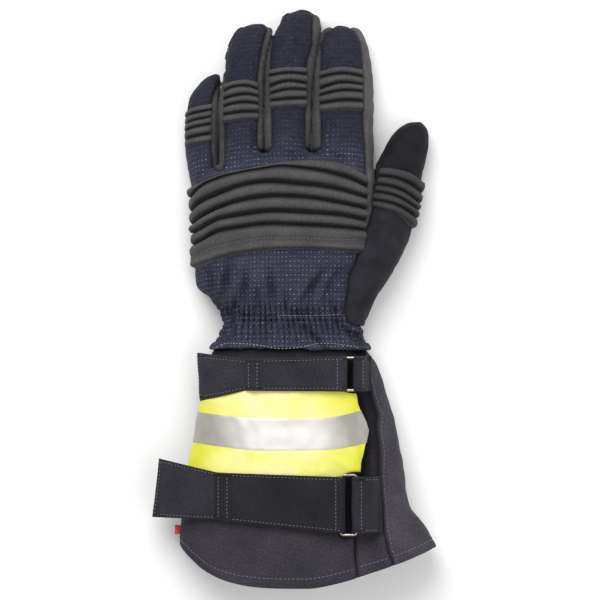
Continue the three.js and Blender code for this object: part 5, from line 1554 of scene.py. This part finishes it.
BAND_HIGH, FIRST_TOP_ROW, FIRST_ANCHOR_ROW = 1.1, 51, 27
cuff_tree = tree_of(*[name + "_cloth" for name in cuff_grids])
strap_lines, anchor_lines = [], []
for index, spec in enumerate(STRAPS):
    strap, anchor = spec["name"] + "_strap", spec["name"] + "_ring_anchor"
    band_left, band_right = [(value - ORIGIN_X) * PIXEL for value in spec["band"]]
    width, free_x, wire_x = spec["width"], spec["stations"][0, 0] * CUFF_WIDTH, left_wire(spec)

    def band(path):
        """The keeper that is sewn across the strap."""
        x, on_top = path[..., 0], np.arange(len(path))[:, None] >= FIRST_TOP_ROW
        begun = smooth(x, band_left - 0.4, band_left + 0.3)
        return BAND_HIGH * on_top * begun * (1 - smooth(x, band_right - 0.3, band_right + 0.4))

    def strap_wear(x):
        return mix(1.0, spec["wear"], smooth(x, band_left - 2, band_left))
    top = webbing(strap, folded_path, spec, 101 + index, -1.0, strap_wear, band)[FIRST_TOP_ROW:]
    strap_lines += side_lines(top, width, band_right + 1.0, wire_x + 0.6)
    strap_lines += side_lines(top, width, free_x + STITCH_INSET, band_left - 0.8)
    for x in (band_left + 1.1, band_right - 1.1, wire_x - LOOP_STITCH):
        strap_lines.append(cross_line(top, width, x))
    strap_lines.append(end_line(top, width))
    top = webbing(anchor, anchor_path, spec, 111 + index, 1.0, lambda x: 0.6 + 0 * x)[FIRST_ANCHOR_ROW:]
    wire_x, free_x = right_wire(spec), spec["anchor_end"] * CUFF_WIDTH
    anchor_lines += side_lines(top, width, wire_x + 5, free_x - STITCH_INSET)
    anchor_lines.append(cross_line(top, width, wire_x + LOOP_STITCH))
    wire_ring(spec)

# Rows of stitches
for name, lines, ending in (("strap_stitches", strap_lines, "_strap_webbing"),
                            ("anchor_stitches", anchor_lines, "_ring_anchor_webbing")):
    tree = tree_of(*[spec["name"] + ending for spec in STRAPS])
    stitched(name, lines, tree, GREY_THREAD, "strap_webbing", 1.5, 1.0, 0.2)

HEM_STITCHES, SIDE_STITCHES = 5.0, 2.3
hem_lines = []
for upper, _, hem in cuff_grids.values():
    hem_lines.append(upper[np.argmin(np.abs(hem[:, 0] - HEM_STITCHES)), 2:-2])
side_upper, side_arc, _ = cuff_grids["cuff_side"]
from_gusset = side_arc[:, -1:] - side_arc
seam = np.array([[np.interp(SIDE_STITCHES, away[::-1], row[::-1, k]) for k in range(3)]
                 for row, away in zip(side_upper, from_gusset)])
stitched("cuff_stitches", hem_lines, cuff_tree, GREY_THREAD, "cuff_fabric", 1.7, 1.1)
stitched("side_seam_stitches", [seam[8:]], cuff_tree, DARK_THREAD, "cuff_fabric", 1.7, 1.1)

hand_top = tree_of("back_shell_cloth", "knuckle_pad_ribs")
FLARE_LINES = [track((214, 349), (222, 344.5), (240, 343.5), (262, 345.5), (275, 348), (300, 347),
                     (318, 343.5),
                     (345, 345), (360, 348)), track((277, 315), (300, 315.5), (342, 314.5))]
PAD_LINE = track((200, 252.5), (210, 249), (240, 241.8), (260, 238.6), (300, 238), (350, 239.8), (360, 239))
stitched("flare_stitches", [dropped(line, hand_top) for line in FLARE_LINES], hand_top, PALE_THREAD,
         "shell_fabric", 1.5, 1.0, 0.22)
stitched("pad_stitches", [dropped(PAD_LINE, hand_top)], hand_top, DARK_THREAD, "pad_fabric", 1.4, 1.0, 0.2)

# The plain tab in the left seam of the cuff
TAB_SEWN_IN, TAB_HEIGHT, TAB_THICKNESS = 1.2, 6, 1.0
tab_x, tab_y = float(tab_row["left"]) - TAB_WIDTH / 2 + TAB_SEWN_IN, float(tab_row["y"])
tab_z = float(mix(tab_row["low"], tab_row["high"], WAIST))
u, v = np.meshgrid(np.linspace(-0.5, 0.5, 14), np.linspace(-0.5, 0.5, 12))
curl = 0.7 * (0.5 - u) ** 2 + 0.25 * np.sin(v * 4)
rim = np.clip((0.5 - np.maximum(np.abs(u), np.abs(v))) * 8, 0, 1) ** 0.5
tab_upper, tab_lower = [np.stack([tab_x + u * (TAB_WIDTH + TAB_SEWN_IN), tab_y + v * TAB_HEIGHT,
                                  tab_z + curl + side * TAB_THICKNESS / 2 * rim], -1) for side in (1, -1)]
points, faces = slab(tab_upper, tab_lower)
put("seam_tab_cloth", points, faces, RED, "tab_fabric", "seam_tab", weave=points)

# Stage
FLOOR_REACH, FLOOR_DROP = 3.0, 0.0002
floor_mesh = bpy.data.meshes.new("studio_floor")
floor_corners = [(x * FLOOR_REACH, y * FLOOR_REACH, -FLOOR_DROP) for x, y in ((-1, -1), (1, -1), (1, 1),
                                                                              (-1, 1))]
floor_mesh.from_pydata(floor_corners, [], [(0, 1, 2, 3)])
floor_mesh.materials.append(paper())
linked("studio_floor", floor_mesh)

world = bpy.data.worlds.new("studio")
world.use_nodes = True
background = world.node_tree.nodes["Background"]
background.inputs["Color"].default_value = (1, 1, 1, 1)
background.inputs["Strength"].default_value = 0.53
bpy.context.scene.world = world


def lamp(name, place, size, energy):
    """A round lamp that shines at the origin."""
    data = bpy.data.lights.new(name, "AREA")
    data.shape, data.size, data.energy = "DISK", size, energy
    light = linked(name, data)
    light.location = place
    light.rotation_euler = (-Vector(place)).to_track_quat("-Z", "Y").to_euler()


lamp("key", (-0.3, 0.85, 1.15), 1.2, 17.5)
lamp("fill", (0.8, -0.5, 1.3), 1.4, 8)
bpy.context.scene.view_settings.view_transform = "Standard"

# The camera looks straight down on the middle of the photograph
PHOTO_SIDE, CAMERA_HEIGHT, LOOK_HEIGHT, SENSOR = 600, 4.0, 0.03, 36
camera_data = bpy.data.cameras.new("camera")
camera_data.sensor_width = SENSOR
camera_data.lens = SENSOR * (CAMERA_HEIGHT - LOOK_HEIGHT) / (PHOTO_SIDE * PIXEL / 1000)
camera = linked("camera", camera_data)
bpy.context.scene.camera = camera
photo_x, photo_y = px(PHOTO_SIDE / 2, PHOTO_SIDE / 2)
camera.location = ((photo_x + SHIFT[0]) / 1000, (photo_y + SHIFT[1]) / 1000, CAMERA_HEIGHT)
